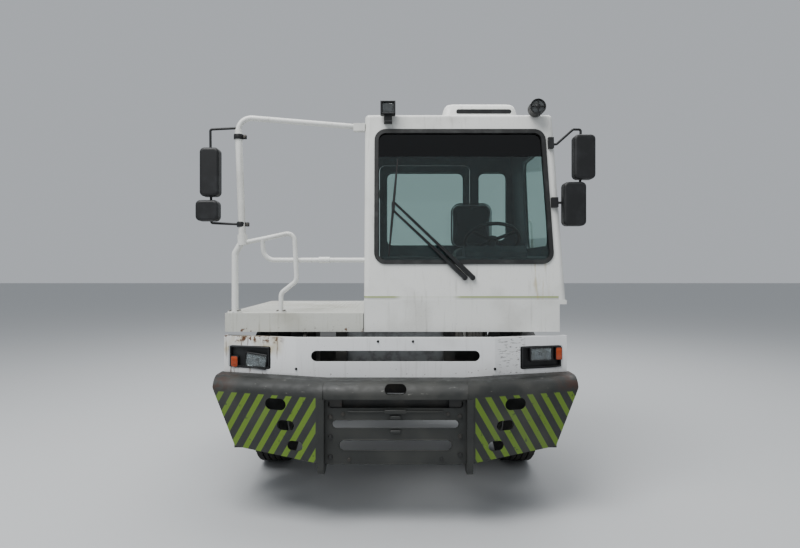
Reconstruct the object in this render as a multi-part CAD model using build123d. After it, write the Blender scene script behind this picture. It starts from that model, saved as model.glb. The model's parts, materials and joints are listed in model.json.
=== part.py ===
"""Terminal tractor: a yard tractor with a one-man cab, a pushing bumper and a lifting fifth wheel.

Millimetres. +Z is up, the front faces -Y, and +X is the driver's left side, where the cab stands.
The origin is on the ground, in the middle of the tractor's length and width.
"""
from math import atan2, cos, degrees, hypot, radians, sin, tan
import os

from build123d import *

# Wheels and axles
TYRE_R = 525
TYRE_WIDTH = 280
BEAD_R = 286
BEAD_HALF = 108
RIM_LIP = 16
RIM_WALL = 12
FRONT_AXLE_Y = -1350
WHEELBASE = 3100
REAR_AXLE_Y = FRONT_AXLE_Y + WHEELBASE
AXLE_Z = TYRE_R
FRONT_WHEEL_X = 1030
OUTER_DUAL_X = 1105
DUAL_SPACING = 320
INNER_DUAL_X = OUTER_DUAL_X - DUAL_SPACING
SPINDLE_R = 40
REAR_SPINDLE_R = 60
RUNNING_FIT = 0.08

# Steering
KINGPIN_X = 840
KINGPIN_R = 22
BEAM_EYE_R = 45
BEAM_TOP = 560
BEAM_BOTTOM = 470
FORK_GAP = 0.5
STEER_ARM = 180
TIE_ROD_R = 18
BALL_R = 17
BALL_DEPTH = 24

# Ladder frame
FRAME_REAR_Y = 2800
RAIL_TOP = 970
RAIL_HEIGHT = 270
RAIL_BOTTOM = RAIL_TOP - RAIL_HEIGHT
RAIL_OUT_X = 430
RAIL_FLANGE = 80
RAIL_IN_X = RAIL_OUT_X - RAIL_FLANGE
RAIL_WALL = 10
RAMP_LENGTH = 450
RAMP_DROP = 150

# Bumper
FLANGE_FACE_Y = -2800
BUMPER_FACE_Y = FLANGE_FACE_Y + 10
BUMPER_TOP = 940
BUMPER_ROLL = 100
BUMPER_SHELF = 120
BUMPER_PLATE = 12
BUMPER_HALF = 1250
WING_X = 500
WING_SWEEP = 230
CENTRE_RECESS = 40
CENTRE_BOTTOM = 410
FLANGE_X = (460, 500)
FLANGE_BOTTOM = 349
FRAME_FRONT_Y = BUMPER_FACE_Y + CENTRE_RECESS + BUMPER_PLATE

# Front panel
PANEL_Y = -2500
PANEL_BEND_X = 690
PANEL_HALF = 1230
PANEL_SWEEP = 150
PANEL_SHEET = 12
PANEL_Z = (957, 1198)
PANEL_LIP_Z = 909
LAMP_X = (875, 1195)
LAMP_Z = (974, 1134)

# Platform
PLATFORM_Y = -2360
PLATFORM_LEFT_X = -1221
PLATFORM_TOP = 1360
PLATFORM_SHEET = 8
APRON_SHEET = 12
APRON_BOTTOM = 1227
BEAM_DEPTH = 100
BEAM_WIDTH = 60
DECK_BOTTOM = PLATFORM_TOP - PLATFORM_SHEET
CROSS_BEAM_Z = (DECK_BOTTOM - BEAM_DEPTH, DECK_BOTTOM)
BEAM_Y = {"front": -2330, "middle": -1600, "rear": -880}
REAR_DECK_TOP = 1300
REAR_DECK_SHEET = 10
REAR_DECK_Y = (-785, -340)

# Cab
CAB_LEFT_X = -227
CAB_RIGHT_X = 1226
CAB_RIGHT_TOP_X = 1165
SKIRT_RIGHT_X = 1176
CAB_REAR_Y = -800
CAB_BASE_Z = 1454
CAB_TOP_Z = 2820
CAB_FRONT_SET_BACK = 140
CAB_WALL = 40
ROOF_DEPTH = 60
ROOF_Z = CAB_TOP_Z - ROOF_DEPTH
PILLAR_DEPTH = 90
CAB_CORNER_R = 40
FLOOR_FLANGE = 30
SEAM = 5
DOOR_GAP = 6
HINGE_STAND_OFF = 12
HINGE_R = 11
HINGE_PLAY = 0.3
GLASS = 6
SEAL_WIDTH = 30
SEAL_PROUD = 10
GLASS_INSET = 12

# Lifting boom, its cylinders and the fifth wheel
BOOM_PIVOT = (-150, 1050)
BOOM_PIN_R = 30
BOOM_EYE_R = 60
BOOM_X = (270, 300)
BOOM_Z = (985, 1095)
CYLINDER_X = 200
CYLINDER_BASE = (800, 620)
CYLINDER_EYE = (1150, 1050)
BARREL_R = 55
ROD_R = 32
LIFT_PIN_R = 17
ROD_EYE_BORE_R = 31
ROD_EYE_R = 46
COUPLER_PIVOT = (1500, 1120)
COUPLER_TOP = 1220
COUPLER_PLATE = 26
COUPLER_HALF = 450
COUPLER_LENGTH = (400, 420)
COUPLER_PIN_R = 25
JAW_R = 25.5
JAW_DEPTH = 45


def block(x, y, z):
    """A box between two X, two Y and two Z values."""
    centre = Pos((x[0] + x[1]) / 2, (y[0] + y[1]) / 2, (z[0] + z[1]) / 2)
    return centre * Box(x[1] - x[0], y[1] - y[0], z[1] - z[0])


def side_outline(points, x):
    """An outline of (y, z) points in side view, extruded between two X values."""
    face = make_face(Polyline(*[(x[0], a, b) for a, b in points], close=True))
    return extrude(face, amount=x[1] - x[0], dir=(1, 0, 0))


def front_outline(points, y):
    """An outline of (x, z) points in front view, extruded between two Y values."""
    face = make_face(Polyline(*[(a, y[0], b) for a, b in points], close=True))
    return extrude(face, amount=y[1] - y[0], dir=(0, 1, 0))


def plan_outline(points, z):
    """An outline of (x, y) points in plan, extruded between two Z values."""
    face = make_face(Polyline(*[(a, b, z[0]) for a, b in points], close=True))
    return extrude(face, amount=z[1] - z[0], dir=(0, 0, 1))


def bar(start, end, radius):
    """A round bar from one point to another."""
    run = Vector(*end) - Vector(*start)
    return Solid.make_cylinder(radius, run.length, Plane(origin=start, z_dir=run))


def tube(points, radius, bend):
    """A round tube along straight runs joined by bends."""
    path = FilletPolyline(*points, radius=bend)
    return sweep(Plane(origin=path @ 0, z_dir=path % 0) * Circle(radius), path=path)


def cross_bar(x, y, z, radius):
    """A round bar along X between two X values."""
    return bar((x[0], y, z), (x[1], y, z), radius)


def slot_y(x, z, width, height, y):
    """A round-ended slot through Y, centred at x and z."""
    ground = Plane(origin=(x, y[0], z), x_dir=(1, 0, 0), z_dir=(0, 1, 0))
    return extrude(ground * SlotOverall(width, height), amount=y[1] - y[0])


def rounded_block(x, y, z, radius, axis=Axis.Z):
    """A box whose edges along one axis are rounded."""
    body = block(x, y, z)
    return fillet(body.edges().filter_by(axis), radius)


def turned(outline, x, y, z):
    """A ring turned about an X line through y and z, from (x, r) points measured outwards from x."""
    face = make_face(Polyline(*[(x + a, y, z + r) for a, r in outline], close=True))
    return revolve(face, Axis((x, y, z), (1, 0, 0)))


def other_side(shape):
    """The same shape on the other side of the middle."""
    return mirror(shape, about=Plane.YZ)


def both_sides(shape):
    """A shape and its mirror image, as separate solids."""
    return Compound(children=[*shape.solids(), *other_side(shape).solids()])


# Wheels

# Half of the tyre's section: (distance from the middle, radius), from the bead to the tread
TYRE_HALF = [
    (BEAD_HALF, BEAD_R),
    (BEAD_HALF, BEAD_R + RIM_LIP),
    (TYRE_WIDTH / 2, TYRE_R - 115),
    (TYRE_WIDTH / 2 - 14, TYRE_R - 22),
    (TYRE_WIDTH / 2 - 36, TYRE_R),
]


def tyre(x, y):
    """A plain tyre: bead, bulging sides, shoulders and tread."""
    mirrored = [(-a, r) for a, r in reversed(TYRE_HALF)]
    return turned(TYRE_HALF + mirrored, x, y, AXLE_Z)


def rim_barrel():
    """The rim's section between its two lips, as (distance, radius) points."""
    lip = BEAD_HALF + 10
    inner = BEAD_R - RIM_WALL
    return [
        (-lip, inner),
        (-lip, BEAD_R + RIM_LIP),
        (-BEAD_HALF, BEAD_R + RIM_LIP),
        (-BEAD_HALF, BEAD_R),
        (BEAD_HALF, BEAD_R),
        (BEAD_HALF, BEAD_R + RIM_LIP),
        (lip, BEAD_R + RIM_LIP),
        (lip, inner),
    ]


DISC_HOLES = 10
DISC_HOLE_R = 30
DISC_HOLE_CIRCLE = 205
DRUM_R = 190
HUB_R = 105


def front_rim():
    """The +X front wheel's rim, disc, hub and brake drum, bored for the spindle."""
    x = FRONT_WHEEL_X
    inner = BEAD_R - RIM_WALL
    disc = [(62, inner + 2), (76, inner + 2), (112, DRUM_R - 25), (112, HUB_R - 5), (96, HUB_R - 5)]
    disc = disc + [(96, DRUM_R - 33)]
    hub = [(-100, 0), (-100, DRUM_R), (20, DRUM_R), (20, HUB_R), (118, HUB_R), (140, 78), (160, 70), (160, 0)]
    body = turned(rim_barrel(), x, FRONT_AXLE_Y, AXLE_Z)
    body = body + turned(disc, x, FRONT_AXLE_Y, AXLE_Z)
    body = body + turned(hub, x, FRONT_AXLE_Y, AXLE_Z)
    body = body - (Pos(x + 92, FRONT_AXLE_Y, AXLE_Z) * disc_hole_ring())
    bore = cross_bar((x - 110, x - 110 + SPINDLE_BORE), FRONT_AXLE_Y, AXLE_Z, SPINDLE_R + RUNNING_FIT)
    return body - bore


def disc_hole_ring():
    """The ventilation holes of a disc, about an X line through the origin."""
    turn = 360 / DISC_HOLES
    hole = Pos(0, 0, DISC_HOLE_CIRCLE) * (Rot(Y=90) * Cylinder(DISC_HOLE_R, 90))
    return Compound(children=[Rot(X=turn * n) * hole for n in range(DISC_HOLES)])


SPINDLE_BORE = 110


def rear_rim():
    """The +X twin wheel: two rims on one disc pair, hub and brake drum, bored for the axle end."""
    middle = (OUTER_DUAL_X + INNER_DUAL_X) / 2
    half = DUAL_SPACING / 2
    lip = BEAD_HALF + 10
    inner = BEAD_R - RIM_WALL
    body = turned(rim_barrel(), OUTER_DUAL_X, REAR_AXLE_Y, AXLE_Z)
    body = body + turned(rim_barrel(), INNER_DUAL_X, REAR_AXLE_Y, AXLE_Z)
    reach = half - lip + 30
    band = [(-reach, inner - 14), (-reach, inner + 2), (reach, inner + 2), (reach, inner - 14)]
    disc = [(-10, HUB_R), (-10, inner), (10, inner), (10, HUB_R)]
    hub = [(-230, 0), (-230, DRUM_R), (-20, DRUM_R), (-20, 140), (90, 140), (120, 120), (150, 90), (150, 0)]
    for section in (band, disc, hub):
        body = body + turned(section, middle, REAR_AXLE_Y, AXLE_Z)
    body = body - (Pos(middle, REAR_AXLE_Y, AXLE_Z) * disc_hole_ring())
    fit = REAR_SPINDLE_R + RUNNING_FIT
    bore = cross_bar((middle - 240, middle - 240 + REAR_BORE), REAR_AXLE_Y, AXLE_Z, fit)
    return body - bore


REAR_BORE = 200


def wheels():
    """Four wheels, each a rim and its tyre or twin tyres."""
    front_tyre = tyre(FRONT_WHEEL_X, FRONT_AXLE_Y)
    rear_tyres = Compound(children=[tyre(OUTER_DUAL_X, REAR_AXLE_Y), tyre(INNER_DUAL_X, REAR_AXLE_Y)])
    return {
        "rim_front_left": front_rim(),
        "tyre_front_left": front_tyre,
        "rim_front_right": other_side(front_rim()),
        "tyre_front_right": other_side(front_tyre),
        "rim_rear_left": rear_rim(),
        "tyre_rear_left": rear_tyres,
        "rim_rear_right": other_side(rear_rim()),
        "tyre_rear_right": Compound(children=other_side(rear_tyres).solids()),
    }


# Axles and steering

FORK_PLATE = 45
YOKE_X = (50, 78)
YOKE_HALF = 58


def front_axle_beam():
    """A dropped I-beam with an eye for a kingpin at each end and a pad under each spring."""
    mid = (BEAM_TOP + BEAM_BOTTOM) / 2
    outline = [
        (-KINGPIN_X, BEAM_BOTTOM + 6), (-620, BEAM_BOTTOM + 6), (-520, BEAM_BOTTOM - 45),
        (520, BEAM_BOTTOM - 45), (620, BEAM_BOTTOM + 6), (KINGPIN_X, BEAM_BOTTOM + 6),
        (KINGPIN_X, BEAM_TOP - 6), (560, BEAM_TOP - 6), (480, BEAM_TOP - 40),
        (-480, BEAM_TOP - 40), (-560, BEAM_TOP - 6), (-KINGPIN_X, BEAM_TOP - 6),
    ]
    beam = front_outline(outline, (FRONT_AXLE_Y - 38, FRONT_AXLE_Y + 38))
    for side in (-1, 1):
        x = side * KINGPIN_X
        beam = beam + bar((x, FRONT_AXLE_Y, BEAM_BOTTOM), (x, FRONT_AXLE_Y, BEAM_TOP), BEAM_EYE_R)
        pad_x = sorted((side * RAIL_IN_X, side * RAIL_OUT_X))
        pad_z = (mid, SPRING_BOTTOM)
        beam = beam + block(pad_x, (FRONT_AXLE_Y - 60, FRONT_AXLE_Y + 60), pad_z)
    for side in (-1, 1):
        x = side * KINGPIN_X
        low, high = (x, FRONT_AXLE_Y, BEAM_BOTTOM - 10), (x, FRONT_AXLE_Y, BEAM_TOP + 10)
        beam = beam - bar(low, high, KINGPIN_R + RUNNING_FIT)
    return beam


def knuckle():
    """The +X knuckle: a fork on its kingpin, the spindle, a brake plate and the steering arm."""
    x, y = KINGPIN_X, FRONT_AXLE_Y
    top, bottom = BEAM_TOP + FORK_GAP, BEAM_BOTTOM - FORK_GAP
    body = bar((x, y, bottom - FORK_PLATE), (x, y, top + FORK_PLATE), KINGPIN_R)
    for z in ((bottom - FORK_PLATE, bottom), (top, top + FORK_PLATE)):
        body = body + bar((x, y, z[0]), (x, y, z[1]), BEAM_EYE_R)
        body = body + block((x, x + YOKE_X[1]), (y - BEAM_EYE_R, y + BEAM_EYE_R), z)
    yoke_z = (bottom - FORK_PLATE, top + FORK_PLATE)
    body = body + block((x + YOKE_X[0], x + YOKE_X[1]), (y - YOKE_HALF, y + YOKE_HALF), yoke_z)
    root = x + YOKE_X[1]
    body = body + cross_bar((root, root + 6), y, AXLE_Z, DRUM_R)
    tip = FRONT_WHEEL_X - 110 + SPINDLE_BORE
    body = body + cross_bar((root, tip), y, AXLE_Z, SPINDLE_R)
    arm_z = (bottom - FORK_PLATE, bottom - 5)
    body = body + block((x - 20, x + 20), (y, y + STEER_ARM), arm_z)
    eye = (x, y + STEER_ARM)
    body = body + bar((*eye, arm_z[0]), (*eye, arm_z[1]), 30)
    return body + bar((*eye, arm_z[0] - FORK_GAP - BALL_DEPTH), (*eye, arm_z[0] + 1), BALL_R)


def tie_rod():
    """The rod behind the axle that joins the two steering arms, with an eye on each ball stud."""
    y = FRONT_AXLE_Y + STEER_ARM
    top = BEAM_BOTTOM - FORK_GAP - FORK_PLATE - FORK_GAP
    z = (top - 2 * TIE_ROD_R - 1, top)
    rod = cross_bar((-KINGPIN_X, KINGPIN_X), y, (z[0] + z[1]) / 2, TIE_ROD_R)
    for x in (-KINGPIN_X, KINGPIN_X):
        rod = rod + bar((x, y, z[0]), (x, y, z[1]), 28)
    for x in (-KINGPIN_X, KINGPIN_X):
        rod = rod - bar((x, y, top - BALL_DEPTH - 2), (x, y, z[1] + 1), BALL_R + RUNNING_FIT)
    return rod


SPRING_HALF = 600
SPRING_BOTTOM = 600
LEAF = 16
LEAVES = [1.0, 0.78, 0.56, 0.34]


def leaf_spring():
    """The +X front spring: four curved leaves, shorter downwards, and its two hangers."""
    x = (RAIL_IN_X + 5, RAIL_OUT_X - 5)
    rise = RAIL_BOTTOM - 26 - (SPRING_BOTTOM + LEAF * len(LEAVES))
    body = None
    for row, share in enumerate(LEAVES):
        top = SPRING_BOTTOM + LEAF * (len(LEAVES) - row)
        half = SPRING_HALF * share
        lift = rise * share**2
        ends = [(FRONT_AXLE_Y - half, top + lift), (FRONT_AXLE_Y + half, top + lift)]
        low = [(a, b - LEAF) for a, b in ends]
        upper = ThreePointArc((x[0], *ends[0]), (x[0], FRONT_AXLE_Y, top), (x[0], *ends[1]))
        lower = ThreePointArc((x[0], *low[1]), (x[0], FRONT_AXLE_Y, top - LEAF), (x[0], *low[0]))
        sides = [Line(upper @ 1, lower @ 0), Line(lower @ 1, upper @ 0)]
        leaf = extrude(make_face(Curve() + [upper, sides[0], lower, sides[1]]), amount=x[1] - x[0], dir=(1, 0, 0))
        body = leaf if body is None else body + leaf
    for end in (-1, 1):
        y = FRONT_AXLE_Y + end * (SPRING_HALF - 20)
        body = body + block(x, (y - 30, y + 30), (RAIL_BOTTOM - 40, RAIL_BOTTOM))
    return body


def rear_axle_housing():
    """The driven axle: a round middle, tapered arms, a bracket to each rail and bare spindle ends."""
    y = REAR_AXLE_Y
    arm = [(-640, 0), (-640, 75), (-230, 110), (230, 110), (640, 75), (640, 0)]
    body = turned(arm, 0, y, AXLE_Z)
    nose = bar((0, y - 210, AXLE_Z), (0, y + 170, AXLE_Z), 185)
    body = body + nose + bar((0, y - 260, AXLE_Z), (0, y - 200, AXLE_Z), 85)
    for side in (-1, 1):
        x = sorted((side * RAIL_IN_X, side * RAIL_OUT_X))
        foot = [(y - 150, RAIL_BOTTOM), (y + 150, RAIL_BOTTOM), (y + 80, AXLE_Z), (y - 80, AXLE_Z)]
        body = body + side_outline(foot, x)
    middle = (OUTER_DUAL_X + INNER_DUAL_X) / 2
    tip = middle - 240 + REAR_BORE - 10
    return body + cross_bar((-tip, tip), y, AXLE_Z, REAR_SPINDLE_R)


ENGINE_Y = (-1900, -830)
ENGINE_Z = (690, 1190)
SHAFT_FRONT_Z = 880
SHAFT_R = 42


def prop_shaft():
    """The shaft from the gearbox to the rear axle, with a flange at each end."""
    start = Vector(0, ENGINE_Y[1], SHAFT_FRONT_Z)
    end = Vector(0, REAR_AXLE_Y - 260, AXLE_Z)
    run = (end - start).normalized()
    body = bar(tuple(start + run * 20), tuple(end - run * 20), SHAFT_R)
    body = body + block((-60, 60), (start.Y, start.Y + 30), (SHAFT_FRONT_Z - 60, SHAFT_FRONT_Z + 60))
    return body + bar((0, end.Y - 30, AXLE_Z), (0, end.Y, AXLE_Z), 75)


def axles():
    """The axles, springs and steering."""
    return {
        "front_axle_beam": front_axle_beam(),
        "knuckle_left": knuckle(),
        "knuckle_right": other_side(knuckle()),
        "tie_rod": tie_rod(),
        "leaf_springs": both_sides(leaf_spring()),
        "rear_axle_housing": rear_axle_housing(),
        "prop_shaft": prop_shaft(),
    }


# Ladder frame

def rail():
    """The +X rail: a channel, open inwards, low under the bumper and with a ramp at the back."""
    horn = BUMPER_TOP - BUMPER_ROLL - 2
    outline = [
        (FRAME_FRONT_Y, RAIL_BOTTOM), (FRAME_FRONT_Y, horn), (PANEL_Y + 30, horn), (PANEL_Y + 120, RAIL_TOP),
        (FRAME_REAR_Y - RAMP_LENGTH, RAIL_TOP), (FRAME_REAR_Y, RAIL_TOP - RAMP_DROP),
        (FRAME_REAR_Y, RAIL_BOTTOM + 30), (FRAME_REAR_Y - 60, RAIL_BOTTOM),
    ]
    face = make_face(Polyline(*[(RAIL_IN_X, a, b) for a, b in outline], close=True))
    pocket = offset(face, amount=-RAIL_WALL, kind=Kind.INTERSECTION)
    solid = extrude(face, amount=RAIL_FLANGE, dir=(1, 0, 0))
    return solid - extrude(pocket, amount=RAIL_FLANGE - RAIL_WALL, dir=(1, 0, 0))


# Cross members between the rails' webs: (front y, back y, low z, high z)
CROSS_MEMBERS = [
    (-2700, -2640, 720, 820),
    (-60, 60, 830, 950),
    (2480, 2600, 730, 860),
]
CYLINDER_BEAM_Z = (520, 580)


def cross_member(y, z):
    """A plain box-section member between the rails' webs."""
    half = RAIL_OUT_X - RAIL_WALL
    return block((-half, half), y, z)


def cylinder_beam():
    """The dropped member under the prop shaft, with two pairs of lugs and a pin for the cylinders."""
    y, z = CYLINDER_BASE
    wide = (y - 45, y + 45)
    body = block((-RAIL_OUT_X, RAIL_OUT_X), wide, CYLINDER_BEAM_Z)
    for side in (-1, 1):
        x = sorted((side * RAIL_IN_X, side * RAIL_OUT_X))
        body = body + block(x, wide, (CYLINDER_BEAM_Z[0], RAIL_BOTTOM))
        for lug in (-1, 1):
            centre = side * CYLINDER_X + lug * LUG_OFFSET
            plate = (centre - LUG_PLATE / 2, centre + LUG_PLATE / 2)
            body = body + block(plate, (y - 40, y + 40), (CYLINDER_BEAM_Z[1] - 1, z))
            body = body + cross_bar(plate, y, z, 40)
        pin = sorted((side * (CYLINDER_X - LUG_OFFSET), side * (CYLINDER_X + LUG_OFFSET)))
        body = body + cross_bar(pin, y, z, LIFT_PIN_R)
    return body


LUG_OFFSET = 60
LUG_PLATE = 18


def boom_pivot():
    """Two uprights on the rails and the pin that the boom turns on."""
    y, z = BOOM_PIVOT
    pin = RAIL_IN_X + 40
    body = cross_bar((-pin, pin), y, z, BOOM_PIN_R)
    for side in (-1, 1):
        x = sorted((side * (RAIL_IN_X + 2), side * pin))
        foot = [(y - 110, RAIL_TOP), (y + 110, RAIL_TOP), (y + 60, z + 40), (y + 30, z + 65)]
        foot = foot + [(y - 30, z + 65), (y - 60, z + 40)]
        body = body + side_outline(foot, x)
    return body


def frame():
    """Rails, members, engine and what hangs on the rails."""
    members = [cross_member(row[:2], row[2:]) for row in CROSS_MEMBERS]
    members = members + [cylinder_beam(), boom_pivot()]
    return {
        "frame_rails": both_sides(rail()),
        "cross_members": Compound(children=members),
        "engine_block": engine_block(),
        "radiator": block((-400, 400), (-2240, -2130), (RAIL_TOP, RAIL_TOP + 250)),
        "fuel_tank": fuel_tank(),
        "battery_box": battery_box(),
        "exhaust_muffler": exhaust_muffler(),
    }


def engine_block():
    """Engine and gearbox as one plain block on four mounting arms."""
    body = block((-320, 320), ENGINE_Y, ENGINE_Z)
    reach = RAIL_OUT_X - RAIL_WALL
    for y in (-1780, -1000):
        body = body + block((-reach, reach), (y - 40, y + 40), (800, 850))
    return body


FUEL_TANK_Y = (-120, 950)
FUEL_TANK_X = (-1080, -490)
FUEL_TANK_Z = (480, 930)


def fuel_tank():
    """A long rounded tank on two brackets to the -X rail."""
    body = rounded_block(FUEL_TANK_X, FUEL_TANK_Y, FUEL_TANK_Z, 90, Axis.Y)
    for y in (100, 730):
        body = body + block((FUEL_TANK_X[1] - 20, -RAIL_OUT_X), (y - 30, y + 30), (RAIL_BOTTOM + 30, RAIL_TOP - 60))
    return body


def battery_box():
    """A covered battery tray beside the +X rail."""
    x = (RAIL_OUT_X, 1010)
    body = block((x[0] + 40, x[1]), (-640, -60), (560, 900))
    return body + block(x, (-560, -140), (RAIL_BOTTOM + 30, RAIL_TOP - 80))


MUFFLER_X = 640
MUFFLER_Z = 740
MUFFLER_R = 130


def exhaust_muffler():
    """A round muffler along the +X rail with two brackets and a short outlet."""
    body = bar((MUFFLER_X, 60, MUFFLER_Z), (MUFFLER_X, 900, MUFFLER_Z), MUFFLER_R)
    for y in (200, 760):
        body = body + block((RAIL_OUT_X, MUFFLER_X), (y - 25, y + 25), (MUFFLER_Z - 20, MUFFLER_Z + 60))
    path = [(MUFFLER_X, 880, MUFFLER_Z), (MUFFLER_X, 1060, MUFFLER_Z), (MUFFLER_X + 300, 1100, MUFFLER_Z - 40)]
    return body + tube(path, 45, 70)


# Bumper and front panel

# Wing holes: (x, z, width, height)
WING_HOLES = [(790, 788, 143, 76), (719, 654, 118, 65), (654, 527, 104, 63)]
# Centre plate slots: (half width, low z, high z)
CENTRE_SLOTS = [(440, 774, 826), (411, 643, 700), (367, 499, 569)]
TOW_HOLE = (0, 896, 143, 65)
WING_TRIM = [(470, 425), (1080, 487), (BUMPER_HALF, 870), (BUMPER_HALF, BUMPER_TOP + 5), (470, BUMPER_TOP + 5)]
BRACE_Z = (720, 800)


def rolled_plate(length, bottom):
    """Bumper plate from local x = 0, its face at y = 0, rolled back into a shelf at the top."""
    r, t, top = BUMPER_ROLL, BUMPER_PLATE, BUMPER_TOP
    z = top - r
    half = sin(radians(45))
    outer = ThreePointArc((0, 0, z), (0, r - r * half, z + r * half), (0, r, top))
    inner = ThreePointArc((0, r, top - t), (0, r - (r - t) * half, z + (r - t) * half), (0, t, z))
    back = r + BUMPER_SHELF
    edges = [
        Line((0, 0, bottom), (0, 0, z)), outer, Line((0, r, top), (0, back, top)),
        Line((0, back, top), (0, back, top - t)), Line((0, back, top - t), (0, r, top - t)), inner,
        Line((0, t, z), (0, t, bottom)), Line((0, t, bottom), (0, 0, bottom)),
    ]
    return extrude(make_face(Curve() + edges), amount=length, dir=(1, 0, 0))


def bumper_wing():
    """The +X wing: swept back, cut to its tapering outline, with its holes and the brace to the rail."""
    sweep_angle = degrees(atan2(WING_SWEEP, BUMPER_HALF - WING_X))
    plate = Pos(-60, 0, 0) * rolled_plate(1000, 380)
    plate = Pos(WING_X, BUMPER_FACE_Y, 0) * (Rot(Z=sweep_angle) * plate)
    span = (BUMPER_FACE_Y - 100, BUMPER_FACE_Y + 600)
    plate = plate & front_outline(WING_TRIM, span)
    for x, z, width, height in WING_HOLES:
        plate = plate - slot_y(x, z, width, height, span)
    back = BUMPER_FACE_Y + WING_SWEEP * (960 - WING_X) / (BUMPER_HALF - WING_X) + 7
    brace = [(RAIL_OUT_X, -2430), (RAIL_OUT_X, -2330), (1040, back + 24), (960, back)]
    return plate + plan_outline(brace, BRACE_Z)


def front_bumper():
    """Rolled pushing bumper: centre roll, recessed slotted plate, two hooked flanges and two wings."""
    middle = BUMPER_TOP - BUMPER_ROLL
    reach = FLANGE_X[1] - 20
    body = Pos(-reach, BUMPER_FACE_Y, 0) * rolled_plate(2 * reach, middle - 2)
    plate_y = (BUMPER_FACE_Y + CENTRE_RECESS, FRAME_FRONT_Y)
    plate = block((-FLANGE_X[0] - 10, FLANGE_X[0] + 10), plate_y, (CENTRE_BOTTOM, BUMPER_TOP - 25))
    for half, low, high in CENTRE_SLOTS:
        plate = plate - slot_y(0, (low + high) / 2, 2 * half, high - low, (plate_y[0] - 5, plate_y[1] + 5))
    body = body + plate
    flange = block(FLANGE_X, (FLANGE_FACE_Y, FLANGE_FACE_Y + 150), (FLANGE_BOTTOM, middle - 2))
    flange = fillet(flange.edges().filter_by(Axis.X).group_by(Axis.Z)[0], 45)
    wing = bumper_wing()
    for piece in (flange, other_side(flange), wing, other_side(wing)):
        body = body + piece
    x, z, width, height = TOW_HOLE
    return body - slot_y(x, z, width, height, (BUMPER_FACE_Y - 5, BUMPER_FACE_Y + BUMPER_ROLL - 5))


PANEL_SLOT = (585, 1036, 1111)
PANEL_ANGLE = degrees(atan2(PANEL_SWEEP, PANEL_HALF - PANEL_BEND_X))


def panel_ends(offset_y):
    """The front panel's line in plan, moved back by an offset: centre and two swept ends."""
    end = PANEL_Y + PANEL_SWEEP
    return [
        (-PANEL_HALF, end + offset_y), (-PANEL_BEND_X, PANEL_Y + offset_y),
        (PANEL_BEND_X, PANEL_Y + offset_y), (PANEL_HALF, end + offset_y),
    ]


def front_panel():
    """The pressed panel over the bumper: bent back at both ends, with a slot and two lamp openings."""
    outline = panel_ends(0) + panel_ends(PANEL_SHEET)[::-1]
    body = plan_outline(outline, (PANEL_LIP_Z, PANEL_Z[1]))
    body = body + plan_outline(panel_ends(0) + panel_ends(70)[::-1], (PANEL_Z[1] - PANEL_SHEET, PANEL_Z[1]))
    lip = PANEL_BEND_X - 50
    trim = [
        (-PANEL_HALF, PANEL_Z[0]), (-lip - 50, PANEL_Z[0]), (-lip, PANEL_LIP_Z), (lip, PANEL_LIP_Z),
        (lip + 50, PANEL_Z[0]), (PANEL_HALF, PANEL_Z[0]), (PANEL_HALF, PANEL_Z[1]), (-PANEL_HALF, PANEL_Z[1]),
    ]
    body = body & front_outline(trim, (PANEL_Y - 50, PANEL_Y + 400))
    half, low, high = PANEL_SLOT
    body = body - slot_y(0, (low + high) / 2, 2 * half, high - low, (PANEL_Y - 5, PANEL_Y + 30))
    opening = rounded_block(LAMP_X, (PANEL_Y - 50, PANEL_Y + 400), LAMP_Z, 14, Axis.Y)
    return body - opening - other_side(opening)


def on_panel_end(side):
    """A place on the panel's swept end: the panel's face is local y = 0, the lamp's middle x = 0."""
    x = sum(LAMP_X) / 2
    y = PANEL_Y + (x - PANEL_BEND_X) * PANEL_SWEEP / (PANEL_HALF - PANEL_BEND_X)
    return Pos(side * x, y, 0) * Rot(Z=side * PANEL_ANGLE)


# Lamp faces: (side, node, inner x, outer x, low z, high z, tilt); the -X unit has dropped in its mount
LAMP_FACES = [
    (1, "head_lamp_lenses", -84, 77, 1032, 1116, 0),
    (1, "signal_lamps", 113, 158, 1031, 1116, 0),
    (-1, "head_lamp_lenses", -130, 26, 984, 1074, 6),
    (-1, "signal_lamps", 92, 142, 982, 1054, 0),
]
LAMP_SEAT = 4
LENS_DEPTH = 12


def lamps():
    """Two lamp housings behind the panel, their clear and amber faces, and the tail lamps."""
    housings = []
    for side in (-1, 1):
        z = (LAMP_Z[0] + 4, LAMP_Z[1] - 4)
        body = block((-156, 156), (LAMP_SEAT, PANEL_SHEET), z)
        body = body + block((-185, 185), (PANEL_SHEET, PANEL_SHEET + 10), (LAMP_Z[0] - 12, LAMP_Z[1] + 12))
        body = body + block((-150, 150), (PANEL_SHEET + 10, PANEL_SHEET + 70), (LAMP_Z[0] + 15, LAMP_Z[1] - 15))
        housings.append(on_panel_end(side) * body)
    faces = {"head_lamp_lenses": [], "signal_lamps": []}
    for side, node, inner, outer, low, high, tilt in LAMP_FACES:
        x = sorted((side * inner, side * outer))
        lens = rounded_block(x, (LAMP_SEAT - LENS_DEPTH, LAMP_SEAT), (low, high), 12, Axis.Y)
        middle = (sum(x) / 2, (low + high) / 2)
        lens = Pos(middle[0], 0, middle[1]) * Rot(Y=tilt) * Pos(-middle[0], 0, -middle[1]) * lens
        faces[node].append(on_panel_end(side) * lens)
    tail_lamp = block((RAIL_OUT_X, RAIL_OUT_X + 150), (2560, 2620), (RAIL_BOTTOM + 60, RAIL_BOTTOM + 160))
    return {
        "head_lamps": Compound(children=housings),
        "head_lamp_lenses": Compound(children=faces["head_lamp_lenses"]),
        "signal_lamps": Compound(children=[*faces["signal_lamps"], tail_lamp, other_side(tail_lamp)]),
    }


# Platform, steps, mudguards and rails

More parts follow.
